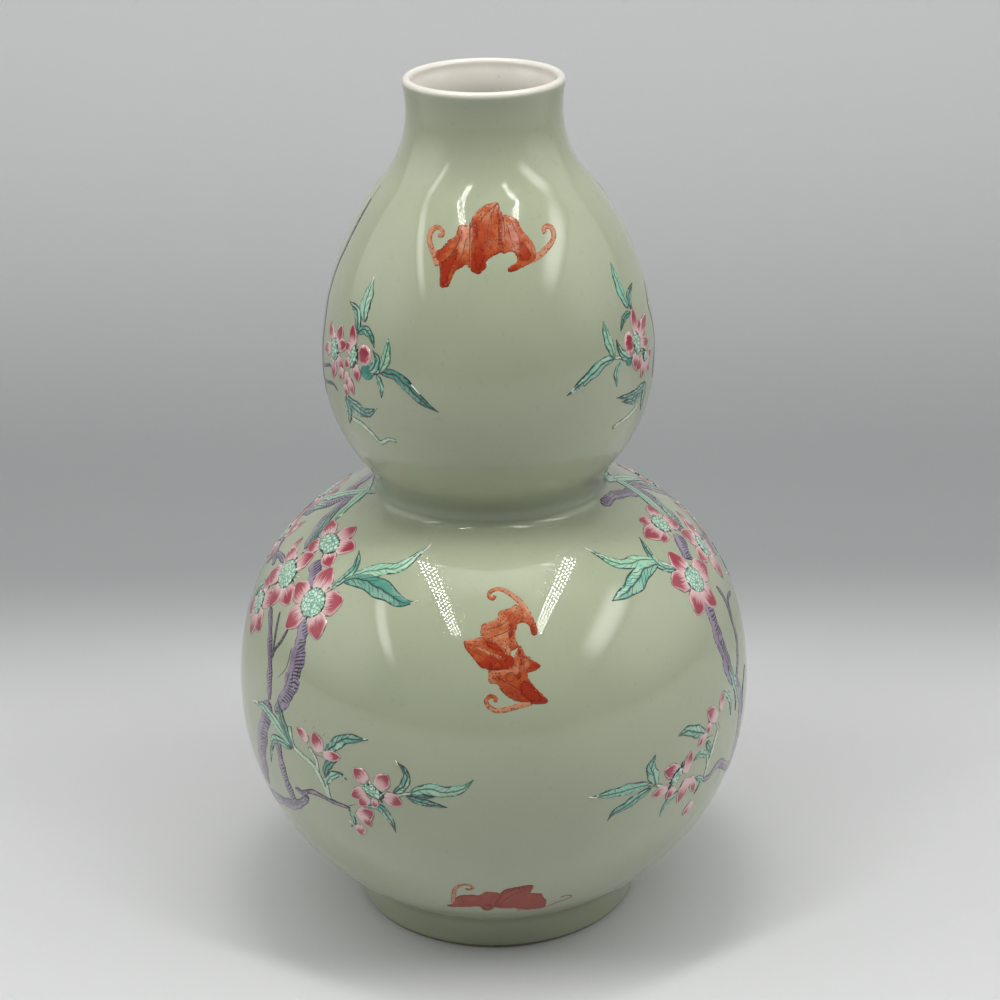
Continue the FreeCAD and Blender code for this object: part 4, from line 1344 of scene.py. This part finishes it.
LOWER_BAT = (
    (3.5, 150),
    [
        (0.35, -40, [
            (-9.4, 1.8), (-9.3, 5.2), (-8.7, 6.8), (-6.5, 7.5), (-4.2, 8.6), (-3.1, 9.8),
            (-2.2, 11.6), (0, 12.3), (2.3, 13), (4.2, 14.1), (7.1, 12.7), (9.4, 10.2),
            (10.6, 7.6), (11.8, 4.2), (11.6, 1.9), (9.8, 1.3), (8.8, 2.9), (8.2, 5.4), (6.6, 6.6),
            (4.8, 6.2), (3.7, 3.7), (3.5, 1.4), (3.8, -0.4), (4.2, -2.4), (0, -4), (-5, -1),
        ]),
        (0.4, -10, [
            (-3.5, -10), (0.7, -8), (3, -4), (4.7, -1.4), (6, -3.6), (6.8, -5.4), (7.1, -8),
            (7.2, -11.7), (7.5, -13.9), (8.5, -15.5), (10, -17.7), (11.7, -19.4), (13.1, -21),
            (14.3, -22.3), (13.9, -23.6), (12.6, -24.2), (10, -24), (7.5, -23.4), (3.8, -22.5),
            (0.9, -21.5), (-1.2, -20), (-3.3, -17.7), (-4, -16.2), (-5.1, -15.5), (-7.2, -15.1),
            (-7.6, -12.9), (-7.2, -10.2),
        ]),
        (0.6, -20, [
            (6.5, -5.4), (8.2, -7), (9.4, -7.5), (11.4, -8.8), (12.1, -10), (10.6, -11.2),
            (8.3, -11.9), (6.5, -11.7),
        ]),
        (0.55, -30, [
            (-15.7, 0.3), (-12.7, 1.1), (-9.4, 1.8), (-6.1, 0.8), (-3.3, -0.9), (-0.5, -3.2),
            (1.6, -5.5), (2.2, -8.4), (0, -10.5), (-3, -11.1), (-5.9, -10.7), (-8.8, -10),
            (-10.3, -9.2), (-12, -7.2), (-13.7, -5), (-15.2, -3.1), (-15.9, -1.3),
        ]),
    ],
    [
        (0.75, -90, [(0.8, 6.5), (2.6, 7.3), (3.5, 3.8), (2.4, 0.6), (0.1, 1.2)]),
        (0.7, 20, [(8.9, 5.9), (11, 5.6), (11.6, 3.4), (10.8, 1.8), (8.9, 2.6)]),
        (0.9, -50, [
            (4.1, -14.6), (7.6, -14.6), (10, -17.7), (13.2, -21.6), (10.4, -23.6), (6.6, -22.6),
            (3.6, -19),
        ]),
        (1.0, -20, [
            (-8, 0.7), (-3.9, 0.2), (-1.4, -1.9), (-1.6, -4.4), (-4.9, -4), (-7.7, -2.1),
        ]),
        (0.05, -90, [
            (-12.4, -0.8), (-7, -2.4), (-2.8, -4.6), (0.8, -7.2), (-0.7, -8.5), (-5.7, -6.3),
            (-10.7, -3.8), (-13, -2),
        ]),
        (0.5, -90, [
            (-6.9, -7.1), (-2.8, -6.8), (-1.1, -9), (-2.2, -10.9), (-6, -10.6), (-7.9, -9.2),
        ]),
        (0.0, -60, [(-1.1, -0.6), (0.7, -1.1), (2.1, -3.7), (0.8, -6.6), (-1.2, -5)]),
        (1.05, -90, [
            (2.4, -0.6), (4.3, -1.4), (5.7, -4.7), (5.9, -10.2), (4.5, -14.6), (2.3, -14.8),
            (3.2, -10), (3.5, -4.9),
        ]),
    ],
    [
        (3.0, 1.6, [
            (8.6, 9.6), (6, 14.4), (3, 17.6), (0, 19.9), (-2.8, 20.4), (-5, 19.3), (-5.6, 17.4),
            (-4.2, 16.4), (-3.3, 17.8),
        ]),
        (2.8, 1.8, [
            (8, -22.8), (2.3, -24.1), (-1.4, -25), (-5, -25.2), (-7.8, -23.5), (-8.5, -21.4),
            (-7, -19.9), (-5, -20.6), (-5.3, -22),
        ]),
    ],
    [
        (0.5, [(-15, -0.6), (-10, -2), (-5, -4.6), (-1, -7)]),
        (0.5, [(-14, -2.6), (-9, -5.4), (-4, -8.6), (-1, -9.6)]),
        (0.5, [(-12.6, 0.2), (-7, -0.6), (-2, -3.6)]),
        (0.6, [(1.6, -5.5), (2.2, -8), (1, -10)]),
        (0.5, [(-1, -12.4), (1.4, -11.4), (2.4, -13), (1.4, -14.6), (-0.8, -14.2), (-1, -12.4)]),
        (0.4, [(-5, -13.6), (-3.8, -12.6), (-2.8, -13.6), (-3.8, -14.8), (-5, -13.6)]),
        (0.4, [(-2.6, -17.4), (-1.4, -16.4), (-0.4, -17.6), (-1.4, -18.8), (-2.6, -17.4)]),
        (0.4, [(1, -19.4), (2, -18.4), (3, -19.4), (2, -20.6), (1, -19.4)]),
        (0.4, [(7.2, -6.6), (7.8, -6), (8.4, -6.6), (7.8, -7.2), (7.2, -6.6)]),
        (0.4, [(7.4, -10.4), (8, -9.8), (8.6, -10.4), (8, -11), (7.4, -10.4)]),
        (0.5, [(-4, -13), (1, -16), (6, -19.5), (11.5, -22)]),
        (0.5, [(2, -12), (5, -15), (8, -19)]),
        (0.5, [(-7, 4.6), (-1, 6.6), (3, 10.6), (6.4, 11.6)]),
        (0.5, [(-4.6, 2), (0.6, 4), (5, 8.4), (9.4, 7.6)]),
        (0.5, [(5, -4), (5.8, -8), (5.6, -12)]),
    ],
)
FOOT_BAT = (
    (3.5, 39),
    [
        (0.95, -60, [
            (-22.5, -5), (-21.7, 0.3), (-19.4, 4.4), (-14.8, 5.8), (-12.1, 5.4), (-10.7, 7.6),
            (-9.1, 8.6), (-6.1, 7.9), (-4, 6.6), (-5, 0), (-6, -8), (-8.3, -11.4), (-10.7, -9.2),
            (-11.9, -6), (-15.4, -7.2), (-19.3, -8), (-23.2, -9), (-24.8, -7.4), (-23.4, -5.6),
        ]),
        (0.9, -120, [
            (6.5, 6), (9.7, 5.1), (12, 4.4), (13, 0.5), (14.4, -3.1), (14.3, -9), (14, -11.6),
            (11.3, -11.7), (6.9, -11.4), (4.1, -10.4), (2, -8), (4, 0),
        ]),
        (1.1, -120, [
            (-4.4, 6.8), (-2.3, 10), (-0.4, 10.8), (3.3, 11.9), (6, 12.2), (8.8, 11.7),
            (7.8, 6.4), (6.6, 0), (4.6, -7), (0.9, -8.6), (-3.7, -8), (-6, -6), (-5.6, 1),
        ]),
    ],
    [
        (1.4, 60, [
            (-6.4, -5), (-4.6, 5.4), (-0.5, 10.2), (4.8, 11.8), (8, 11.2), (4.2, 7.7), (-1, 1.5),
            (-4.1, -6.8),
        ]),
        (1.3, -100, [
            (-11.2, -4.6), (-9.3, -2.4), (-6.6, -3.8), (-6.1, -9), (-8.4, -11), (-10.4, -9),
        ]),
    ],
    [
        (2.8, 1.6, [
            (-21.8, -3), (-21.9, 4), (-21.2, 10), (-18.8, 12.8), (-16, 13), (-14.6, 11),
            (-16, 9.3), (-17.2, 10.5),
        ]),
        (1.2, 0.9, [
            (3, -11.8), (8, -12), (14, -11.4), (18.2, -8), (22.3, -5.8), (24.6, -3.7),
            (22.4, -1.4), (19.8, -2.3),
        ]),
    ],
    [
        (0.5, [(7.8, 10.6), (3, 6), (0, 0), (-2.6, -6)]),
        (0.5, [(7, 8), (4.6, 2), (2.6, -5)]),
        (0.5, [(-9, 7), (-12, 1), (-13, -5)]),
        (0.5, [(-19, 3), (-18, -3), (-19.5, -7)]),
        (0.5, [(11, 3), (10.6, -3), (11.6, -10)]),
    ],
)


# ---------------------------------------------------------------- operators
CACHE = {}


def ready_walls(scene):
    """The two faces of the wall, worked out once for all operators."""
    if "walls" not in CACHE:
        CACHE["walls"] = make_walls(scene)
    return CACHE["walls"]


# The rounded lower edge of the celadon, in millimetres from the foot's glaze line.
SKIRT = ((-0.4, 0), (-0.05, -0.06), (0.04, 0.02))
# How far each coat reaches under the other on the lip, in degrees of its round.
COAT_OVERLAP, LINING_OVERLAP = 8, 6


class VASE_OT_body(bpy.types.Operator):
    """Give the turned sections and their slip joints their fired body"""

    bl_idname = "vase.body"
    bl_label = "Fire the body"

    def execute(self, context):
        colours = context.scene.vase_colours
        for names, material in ((SECTIONS, fired_body(colours)), (SLIPS, fired_slip(colours))):
            for name in names:
                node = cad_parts[name]
                node.data.materials.clear()
                node.data.materials.append(material)
        return {"FINISHED"}


class VASE_OT_glaze(bpy.types.Operator):
    """Coat the outside with celadon and the inside and lip with clear glaze"""

    bl_idname = "vase.glaze"
    bl_label = "Glaze"

    def execute(self, context):
        scene = context.scene
        glaze, colours = scene.vase_glaze, scene.vase_colours
        outside, inside = ready_walls(scene)
        proud, depth = glaze.proud / MM, glaze.depth / MM
        outer_end, inner_end = outside.points[-1], inside.points[-1]
        lip = outer_end, inner_end, outer_end.y
        lip_round = (outer_end.x - inner_end.x) / 2
        split = math.degrees(math.asin(min(1.0, (glaze.crest / MM - outer_end.y) / lip_round)))

        # Each profile runs along the face that shows and back inside the wall, where every third
        # point will do. The coats overlap a little under the lip's crest.
        skirt = [outside.points[0] + Vector(edge) for edge in SKIRT]
        coat = (
            skirt
            + outside.offset(proud)[1:]
            + lip_arc(*lip, 0, split, proud)[1:]
            + lip_arc(*lip, split + COAT_OVERLAP, 0, -depth, 6)
            + outside.offset(-depth)[-2:1:-3]
        )
        piece = turned_shell("celadon_coat", coat, glaze.segments)
        piece.data.materials.append(celadon_glaze(colours))
        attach(piece, "root")

        lining = (
            inside.offset(-proud)
            + lip_arc(*lip, 180, split, proud, 14)[1:]
            + lip_arc(*lip, split - LINING_OVERLAP, 180, -depth, 8)
            + inside.offset(depth)[-2:0:-3]
            + [inside.points[0] + Vector((0, -depth))]
        )
        lining[0].x = 0
        piece = turned_shell("clear_lining", lining, glaze.segments)
        piece.data.materials.append(clear_glaze(colours))
        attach(piece, "root")
        return {"FINISHED"}


class VASE_OT_bats(bpy.types.Operator):
    """Draw the iron-red bats on the upper bulb, the lower bulb and above the foot"""

    bl_idname = "vase.bats"
    bl_label = "Draw the bats"

    def execute(self, context):
        scene = context.scene
        outside, _ = ready_walls(scene)
        sizes, colours = scene.vase_enamel, scene.vase_colours
        bats = Enamel(scene, outside, sizes.bat_relief)
        washes = Enamel(scene, outside, sizes.bat_relief)
        lines = Enamel(scene, outside, sizes.bat_relief * 2.0, base=sizes.bat_relief / MM * 1.2)
        for spot, areas, deeper, curls, marks in (UPPER_BAT, LOWER_BAT, FOOT_BAT):
            ground = Ground(outside, *spot)
            for root, tip, line in curls:
                points = [Vector(point) for point in line]
                bats.stroke(ground, points, stem_shape(root, tip), columns=4, spacing=0.6, tint=0.0)
            for k, (wash, deepen, outline) in enumerate(areas):
                bats.fill(ground, outline, wash, deepen, bats.relief * (1.1 + 0.12 * k))
            for k, (wash, deepen, outline) in enumerate(deeper):
                washes.fill(ground, outline, wash, deepen, bats.relief * (1.55 + 0.06 * k))
            for width, line in marks:
                points = [Vector(point) for point in line]
                brush = stem_shape(width * 0.8, width * 0.4)
                lines.stroke(ground, points, brush, columns=2, spacing=0.8)
        bats.finish("iron_red_bats", bat_enamel("bat_enamel", colours, sizes))
        washes.finish("iron_red_washes", bat_enamel("bat_wash_enamel", colours, sizes, soft=True))
        lines.finish("bat_brush_lines", line_enamel("bat_line_enamel", colours.iron_dark))
        return {"FINISHED"}


class VASE_OT_boughs(bpy.types.Operator):
    """Draw the hatched violet boughs and the ink hair lines"""

    bl_idname = "vase.boughs"
    bl_label = "Draw the boughs"

    def execute(self, context):
        scene = context.scene
        outside, _ = ready_walls(scene)
        sizes, colours = scene.vase_enamel, scene.vase_colours
        boughs = Enamel(scene, outside, sizes.bough_relief)
        for start, end, knots, *spots in BOUGHS:
            boughs.spray(spots, bough_shape(start, end, knots), columns=6, spacing=1.0)
        boughs.finish("violet_boughs", bough_enamel(colours, sizes))
        lines = Enamel(scene, outside, sizes.line_relief)
        for width, *spots in INK_LINES:
            lines.spray(spots, stem_shape(width, width * 0.5), columns=2, spacing=1.0)
        lines.finish("ink_hair_lines", line_enamel("ink_line_enamel", colours.ink))
        return {"FINISHED"}


class VASE_OT_leaves(bpy.types.Operator):
    """Draw the pale and the blue-green leaves"""

    bl_idname = "vase.leaves"
    bl_label = "Draw the leaves"

    def execute(self, context):
        scene = context.scene
        outside, _ = ready_walls(scene)
        sizes, colours = scene.vase_enamel, scene.vase_colours
        base = sizes.bough_relief / MM * 0.5
        groups = (
            ("pale_leaves", PALE_LEAVES, colours.leaf_pale, colours.leaf_teal, 0.6),
            ("teal_leaves", TEAL_LEAVES, colours.leaf_teal, colours.leaf_deep, 0.95),
        )
        for name, leaves, body, shade, veins in groups:
            enamel = Enamel(scene, outside, sizes.leaf_relief, base=base)
            for width, *spots in leaves:
                enamel.spray(spots, leaf_shape(width * 1.2, 0.09), columns=8, spacing=0.7)
            enamel.finish(name, leaf_enamel(f"{name}_enamel", colours, sizes, body, shade, veins))
        stems = Enamel(scene, outside, sizes.bough_relief * 1.2, base=base)
        for start, end, *spots in STEMS:
            stems.spray(spots, stem_shape(start, end), columns=4, spacing=0.9)
        stems.finish("stems", stem_enamel(colours, sizes))
        return {"FINISHED"}


class VASE_OT_blossoms(bpy.types.Operator):
    """Draw the blossoms with their hearts and stamens, and the buds"""

    bl_idname = "vase.blossoms"
    bl_label = "Draw the blossoms"

    def execute(self, context):
        scene = context.scene
        outside, _ = ready_walls(scene)
        sizes, colours = scene.vase_enamel, scene.vase_colours
        low_base = sizes.bough_relief / MM * 0.5
        base = sizes.bough_relief / MM * 0.8
        high_base = sizes.petal_relief / MM * 0.9
        petals = Enamel(scene, outside, sizes.petal_relief, base=base)
        hearts = Enamel(scene, outside, sizes.heart_relief, base=high_base)
        stamens = Enamel(scene, outside, sizes.heart_relief * 0.8, base=low_base)
        anthers = Enamel(scene, outside, sizes.heart_relief * 0.8, base=low_base)
        buds = Enamel(scene, outside, sizes.petal_relief, base=base)
        calyxes = Enamel(scene, outside, sizes.leaf_relief, base=base)
        for spot, (across, up, lean), shapes in BLOSSOMS:
            ground = Ground(outside, *spot)
            slope = Matrix.Rotation(-math.radians(lean), 2)
            for k, (direction, reach, width) in enumerate(shapes):
                turn = math.radians(direction)
                aim = Vector((math.cos(turn), math.sin(turn)))
                start = aim * 0.6 * min(reach - 4, math.hypot(aim.x * across, aim.y * up))
                bow = Vector((-aim.y, aim.x)) * width * 0.06 * (-1) ** k
                points = [start, (start + aim * reach) / 2 + bow, aim * reach]
                relief = petals.relief * (0.86 + 0.14 * (k % 3))
                brush = petal_shape(width)
                petals.stroke(ground, points, brush, columns=8, spacing=0.8, relief=relief)
            hearts.disc(ground, across, up, lean)
            count = round(4 * math.sqrt(across * up))
            for k in range(count):
                turn = math.tau * (k + 0.5) / count
                far = 1.24 + 0.12 * (-1) ** k
                place = Vector((math.cos(turn) * across, math.sin(turn) * up)) @ slope
                enamel = stamens if k % 3 else anthers
                enamel.stroke(ground, [place * 0.98, place * far], stem_shape(0.5, 0.3), columns=2)
        for width, *spots in LOOSE_PETALS:
            petals.spray(spots, petal_shape(width), columns=8, spacing=0.8)
        for spot, (across, up) in BUDS:
            buds.disc(Ground(outside, *spot), across, up)
        for spot, (across, up) in CALYXES:
            calyxes.disc(Ground(outside, *spot), across, up)
        for width, *spots in WHITE_DABS:
            stamens.spray(spots, stem_shape(width, width * 0.7), columns=2, spacing=0.8)
        petals.finish("petals", petal_enamel(colours, sizes))
        hearts.finish("blossom_hearts", heart_enamel(colours, sizes))
        stamens.finish("stamens", line_enamel("stamen_enamel", colours.stamen))
        anthers.finish("anthers", line_enamel("anther_enamel", colours.ink))
        calyxes.finish("calyxes", line_enamel("calyx_enamel", colours.leaf_deep))
        buds.finish("buds", bud_enamel(colours))
        return {"FINISHED"}


# ---------------------------------------------------------------- the stage
# The sweep of floor and backdrop, in metres: half its width, its front edge, where it starts to
# rise, the round it rises on, and its top.
SWEEP_SIDE = 2.5
SWEEP_FRONT = -1.6
SWEEP_BEND = 0.45
SWEEP_ROUND = 0.5
SWEEP_TOP = 2.4
ROOM_GREY, ROOM_STRENGTH = 0.5, 0.25
# The camera: focal length and film width in millimetres, place and near and far limit in metres,
# and how far it looks down and leans over, in degrees.
CAMERA_LENS, CAMERA_FILM = 89.53, 36
CAMERA_PLACE = (0.00357, -0.9064, 0.5449)
CAMERA_LIMITS = (0.05, 10)
CAMERA_PITCH, CAMERA_ROLL = 22.4475, -0.8977
# Lamps, which the glaze doesn't mirror: name, place, aim, width, length and power in watts.
LAMPS = [
    ("left_strip_light", (-0.51, -0.45, 1.55), (-0.3, -0.3, 0.0), 0.15, 1.7, 12.4),
    ("right_strip_light", (0.55, -0.45, 1.55), (0.3, -0.3, 0.0), 0.15, 1.7, 12.3),
    ("left_light", (-1.2, -0.4, 1.1), (0.0, 0.0, 0.15), 0.5, 1.0, 4.5),
    ("right_light", (1.2, -0.4, 1.1), (0.0, 0.0, 0.15), 0.5, 1.0, 5.2),
    ("low_left_light", (-1.5, 0.1, 0.4), (0.0, 0.0, 0.15), 0.6, 1.4, 2.1),
    ("low_right_light", (1.5, 0.1, 0.4), (0.0, 0.0, 0.15), 0.6, 1.4, 1.5),
]
# Rows of bright dots that the glaze mirrors: name, first and last dot, columns and rows.
DOT_STRIPS = [
    ("left_dots", (-0.522, 0.25, 1.55), (-0.47, -1.2, 1.55), 4, 22),
    ("right_dots", (0.628, 0.27, 1.55), (0.575, -1.18, 1.55), 4, 22),
]
DOT_PITCH = 0.0365
DOT_RADIUS = 0.0092
DOT_STRETCH = 1.6
DOT_GLOW = 70.0
# Plain panels that the glaze mirrors, soft at their edges: name, both ends, width and strength.
# They face the middle of the vase, and fade over their outer part along and across.
VASE_MIDDLE = Vector((0, 0, 0.2))
PANEL_STEPS = 16
FADE_ALONG, FADE_ACROSS = 1.4, 1.2
GLOW_COLOUR = (1, 1, 0.96, 1)
PANELS = [
    ("left_panel", (-1.06, 0.05, 1.48), (-1.14, -1.1, 0.76), 0.2, 4.8),
    ("right_panel", (1.2, 0.2, 1.32), (1.04, -1.15, 0.86), 0.42, 5.2),
    ("left_wall", (-1.7, 1.9, 0.9), (-1.7, -1.7, 0.9), 2.2, 1.1),
    ("right_wall", (1.7, 1.9, 0.9), (1.7, -1.7, 0.9), 2.2, 0.95),
    ("ceiling", (0.0, 1.4, 2.2), (0.0, -0.9, 2.2), 2.6, 1.9),
    ("left_bar", (-0.48, 0.13, 1.55), (-0.16, 0.1, 1.55), 0.07, 9.0),
    ("right_bar", (0.56, 0.13, 1.55), (0.2, 0.1, 1.55), 0.07, 7.0),
]


def glowing(name, strength, faded=False):
    """A plain glow, or one that fades towards the shape's edges."""
    glow = bpy.data.materials.new(name)
    glow.use_nodes = True
    glow.cycles.emission_sampling = "NONE"
    tree = glow.node_tree
    shader = tree.nodes["Principled BSDF"]
    shader.inputs["Base Color"].default_value = (0, 0, 0, 1)
    shader.inputs["Emission Color"].default_value = GLOW_COLOUR
    if not faded:
        shader.inputs["Emission Strength"].default_value = strength
        return glow
    share = tree.nodes.new("ShaderNodeAttribute")
    share.attribute_name = "fade"
    product = tree.nodes.new("ShaderNodeMath")
    product.operation = "MULTIPLY"
    product.inputs[1].default_value = strength
    tree.links.new(share.outputs["Fac"], product.inputs[0])
    tree.links.new(product.outputs[0], shader.inputs["Emission Strength"])
    return glow


def mirrored_only(panel, material):
    """Put a glowing shape on the stage, seen only in the glaze."""
    panel.data.materials.append(material)
    panel.visible_camera = False
    panel.visible_diffuse = False
    panel.visible_shadow = False


def lay_sweep(colours):
    """The floor, which rises behind the vase as its backdrop."""
    sweep = bmesh.new()
    bends = [math.radians(angle) for angle in range(0, 91, 10)]
    profile = [(SWEEP_FRONT, 0.0)]
    profile += [
        (SWEEP_BEND + SWEEP_ROUND * math.sin(bend), SWEEP_ROUND - SWEEP_ROUND * math.cos(bend))
        for bend in bends
    ]
    profile += [(SWEEP_BEND + SWEEP_ROUND, SWEEP_TOP)]
    line = [sweep.verts.new((-SWEEP_SIDE, y, z)) for y, z in profile]
    edges = [sweep.edges.new(pair) for pair in zip(line, line[1:])]
    wide = bmesh.ops.extrude_edge_only(sweep, edges=edges)
    far_side = [part for part in wide["geom"] if isinstance(part, bmesh.types.BMVert)]
    bmesh.ops.translate(sweep, verts=far_side, vec=(2 * SWEEP_SIDE, 0, 0))
    bmesh.ops.recalc_face_normals(sweep, faces=sweep.faces)
    if min(sweep.faces, key=lambda face: face.calc_center_median().y).normal.z < 0:
        bmesh.ops.reverse_faces(sweep, faces=sweep.faces)
    settle_faces(sweep)
    floor = finish_mesh("floor_and_backdrop", sweep)
    floor.data.materials.append(paper_sweep(colours))


def hang_lamp(scene, name, place, aim, width, height, power):
    """A flat lamp that lights the vase and isn't mirrored in it."""
    lamp = bpy.data.lights.new(name, "AREA")
    lamp.shape = "RECTANGLE"
    lamp.size, lamp.size_y = width, height
    lamp.energy = power
    stand = bpy.data.objects.new(name, lamp)
    scene.collection.objects.link(stand)
    stand.location = place
    stand.rotation_mode = "QUATERNION"
    stand.rotation_quaternion = (Vector(aim) - Vector(place)).to_track_quat("-Z", "Y")
    stand.visible_camera = False
    stand.visible_glossy = False


def hang_dots(name, first, last, columns, rows):
    """Rows of bright dots, every other column half a step on."""
    dots = bmesh.new()
    stretch = Matrix.Diagonal((1, DOT_STRETCH, 1, 1))
    for column in range(columns):
        for row in range(rows):
            spot = Vector(first).lerp(Vector(last), (row + column % 2 / 2) / rows)
            spot.x += (column - (columns - 1) / 2) * DOT_PITCH
            bmesh.ops.create_circle(
                dots,
                cap_ends=True,
                segments=8,
                radius=DOT_RADIUS,
                matrix=Matrix.Translation(spot) @ stretch,
            )
    mirrored_only(finish_mesh(name, dots), glowing(name, DOT_GLOW))


def hang_panel(name, start, end, width, strength):
    """A glowing panel between two ends, turned to the vase."""
    start, end = Vector(start), Vector(end)
    along = (end - start) / 2
    across = along.cross(VASE_MIDDLE - start).normalized() * width / 2
    out = along.cross(across).normalized()
    place = Matrix((along, across, out)).transposed().to_4x4()
    place.translation = (start + end) / 2
    panel = bmesh.new()
    fade = panel.verts.layers.float.new("fade")
    bmesh.ops.create_grid(panel, x_segments=PANEL_STEPS, y_segments=PANEL_STEPS, size=1)
    for vert in panel.verts:
        inward = (1 - abs(vert.co.x)) * FADE_ALONG, (1 - abs(vert.co.y)) * FADE_ACROSS
        shares = [min(1.0, share) for share in inward]
        vert[fade] = math.prod(share * share * (3 - 2 * share) for share in shares)
    bmesh.ops.transform(panel, matrix=place, verts=panel.verts)
    mirrored_only(finish_mesh(name, panel), glowing(name, strength, faded=True))


class VASE_OT_stage(bpy.types.Operator):
    """Set up the floor, the lamps and the camera"""

    bl_idname = "vase.stage"
    bl_label = "Set the stage"

    def execute(self, context):
        scene = context.scene
        lay_sweep(scene.vase_colours)
        for lamp in LAMPS:
            hang_lamp(scene, *lamp)
        for strip in DOT_STRIPS:
            hang_dots(*strip)
        for panel in PANELS:
            hang_panel(*panel)

        room = bpy.data.worlds.new("pale_room")
        room.use_nodes = True
        background = room.node_tree.nodes["Background"]
        background.inputs["Color"].default_value = (ROOM_GREY, ROOM_GREY, ROOM_GREY, 1)
        background.inputs["Strength"].default_value = ROOM_STRENGTH
        scene.world = room
        scene.view_settings.view_transform = "Standard"

        eye = bpy.data.cameras.new("camera")
        eye.lens, eye.sensor_width = CAMERA_LENS, CAMERA_FILM
        eye.clip_start, eye.clip_end = CAMERA_LIMITS
        camera = bpy.data.objects.new("camera", eye)
        scene.collection.objects.link(camera)
        pitch, roll = math.radians(CAMERA_PITCH), math.radians(CAMERA_ROLL)
        forward = Vector((0, math.cos(pitch), -math.sin(pitch)))
        up = Vector((0, math.sin(pitch), math.cos(pitch)))
        right = Vector((1, 0, 0))
        side = right * math.cos(roll) + up * math.sin(roll)
        rise = up * math.cos(roll) - right * math.sin(roll)
        turn = Matrix((side, rise, -forward)).transposed().to_4x4()
        camera.matrix_world = Matrix.Translation(CAMERA_PLACE) @ turn
        scene.camera = camera
        return {"FINISHED"}


class VASE_PT_panel(bpy.types.Panel):
    """The vase's steps in the sidebar"""

    bl_idname = "VASE_PT_panel"
    bl_label = "Double Gourd Vase"
    bl_space_type = "VIEW_3D"
    bl_region_type = "UI"
    bl_category = "Vase"

    def draw(self, context):
        for operator in OPERATORS:
            self.layout.operator(operator.bl_idname)


GROUPS = {
    "vase_form": VaseForm,
    "vase_glaze": GlazeSizes,
    "vase_enamel": EnamelSizes,
    "vase_colours": VaseColours,
}
OPERATORS = (
    VASE_OT_body,
    VASE_OT_glaze,
    VASE_OT_bats,
    VASE_OT_boughs,
    VASE_OT_leaves,
    VASE_OT_blossoms,
    VASE_OT_stage,
)


def register():
    for name, group in GROUPS.items():
        bpy.utils.register_class(group)
        setattr(bpy.types.Scene, name, PointerProperty(type=group))
    for part in (*OPERATORS, VASE_PT_panel):
        bpy.utils.register_class(part)


def unregister():
    for part in reversed((*OPERATORS, VASE_PT_panel)):
        bpy.utils.unregister_class(part)
    for name, group in GROUPS.items():
        delattr(bpy.types.Scene, name)
        bpy.utils.unregister_class(group)


def main():
    register()
    bpy.ops.vase.body()
    bpy.ops.vase.glaze()
    bpy.ops.vase.bats()
    bpy.ops.vase.boughs()
    bpy.ops.vase.leaves()
    bpy.ops.vase.blossoms()
    bpy.ops.vase.stage()


if __name__ == "__main__":
    main()
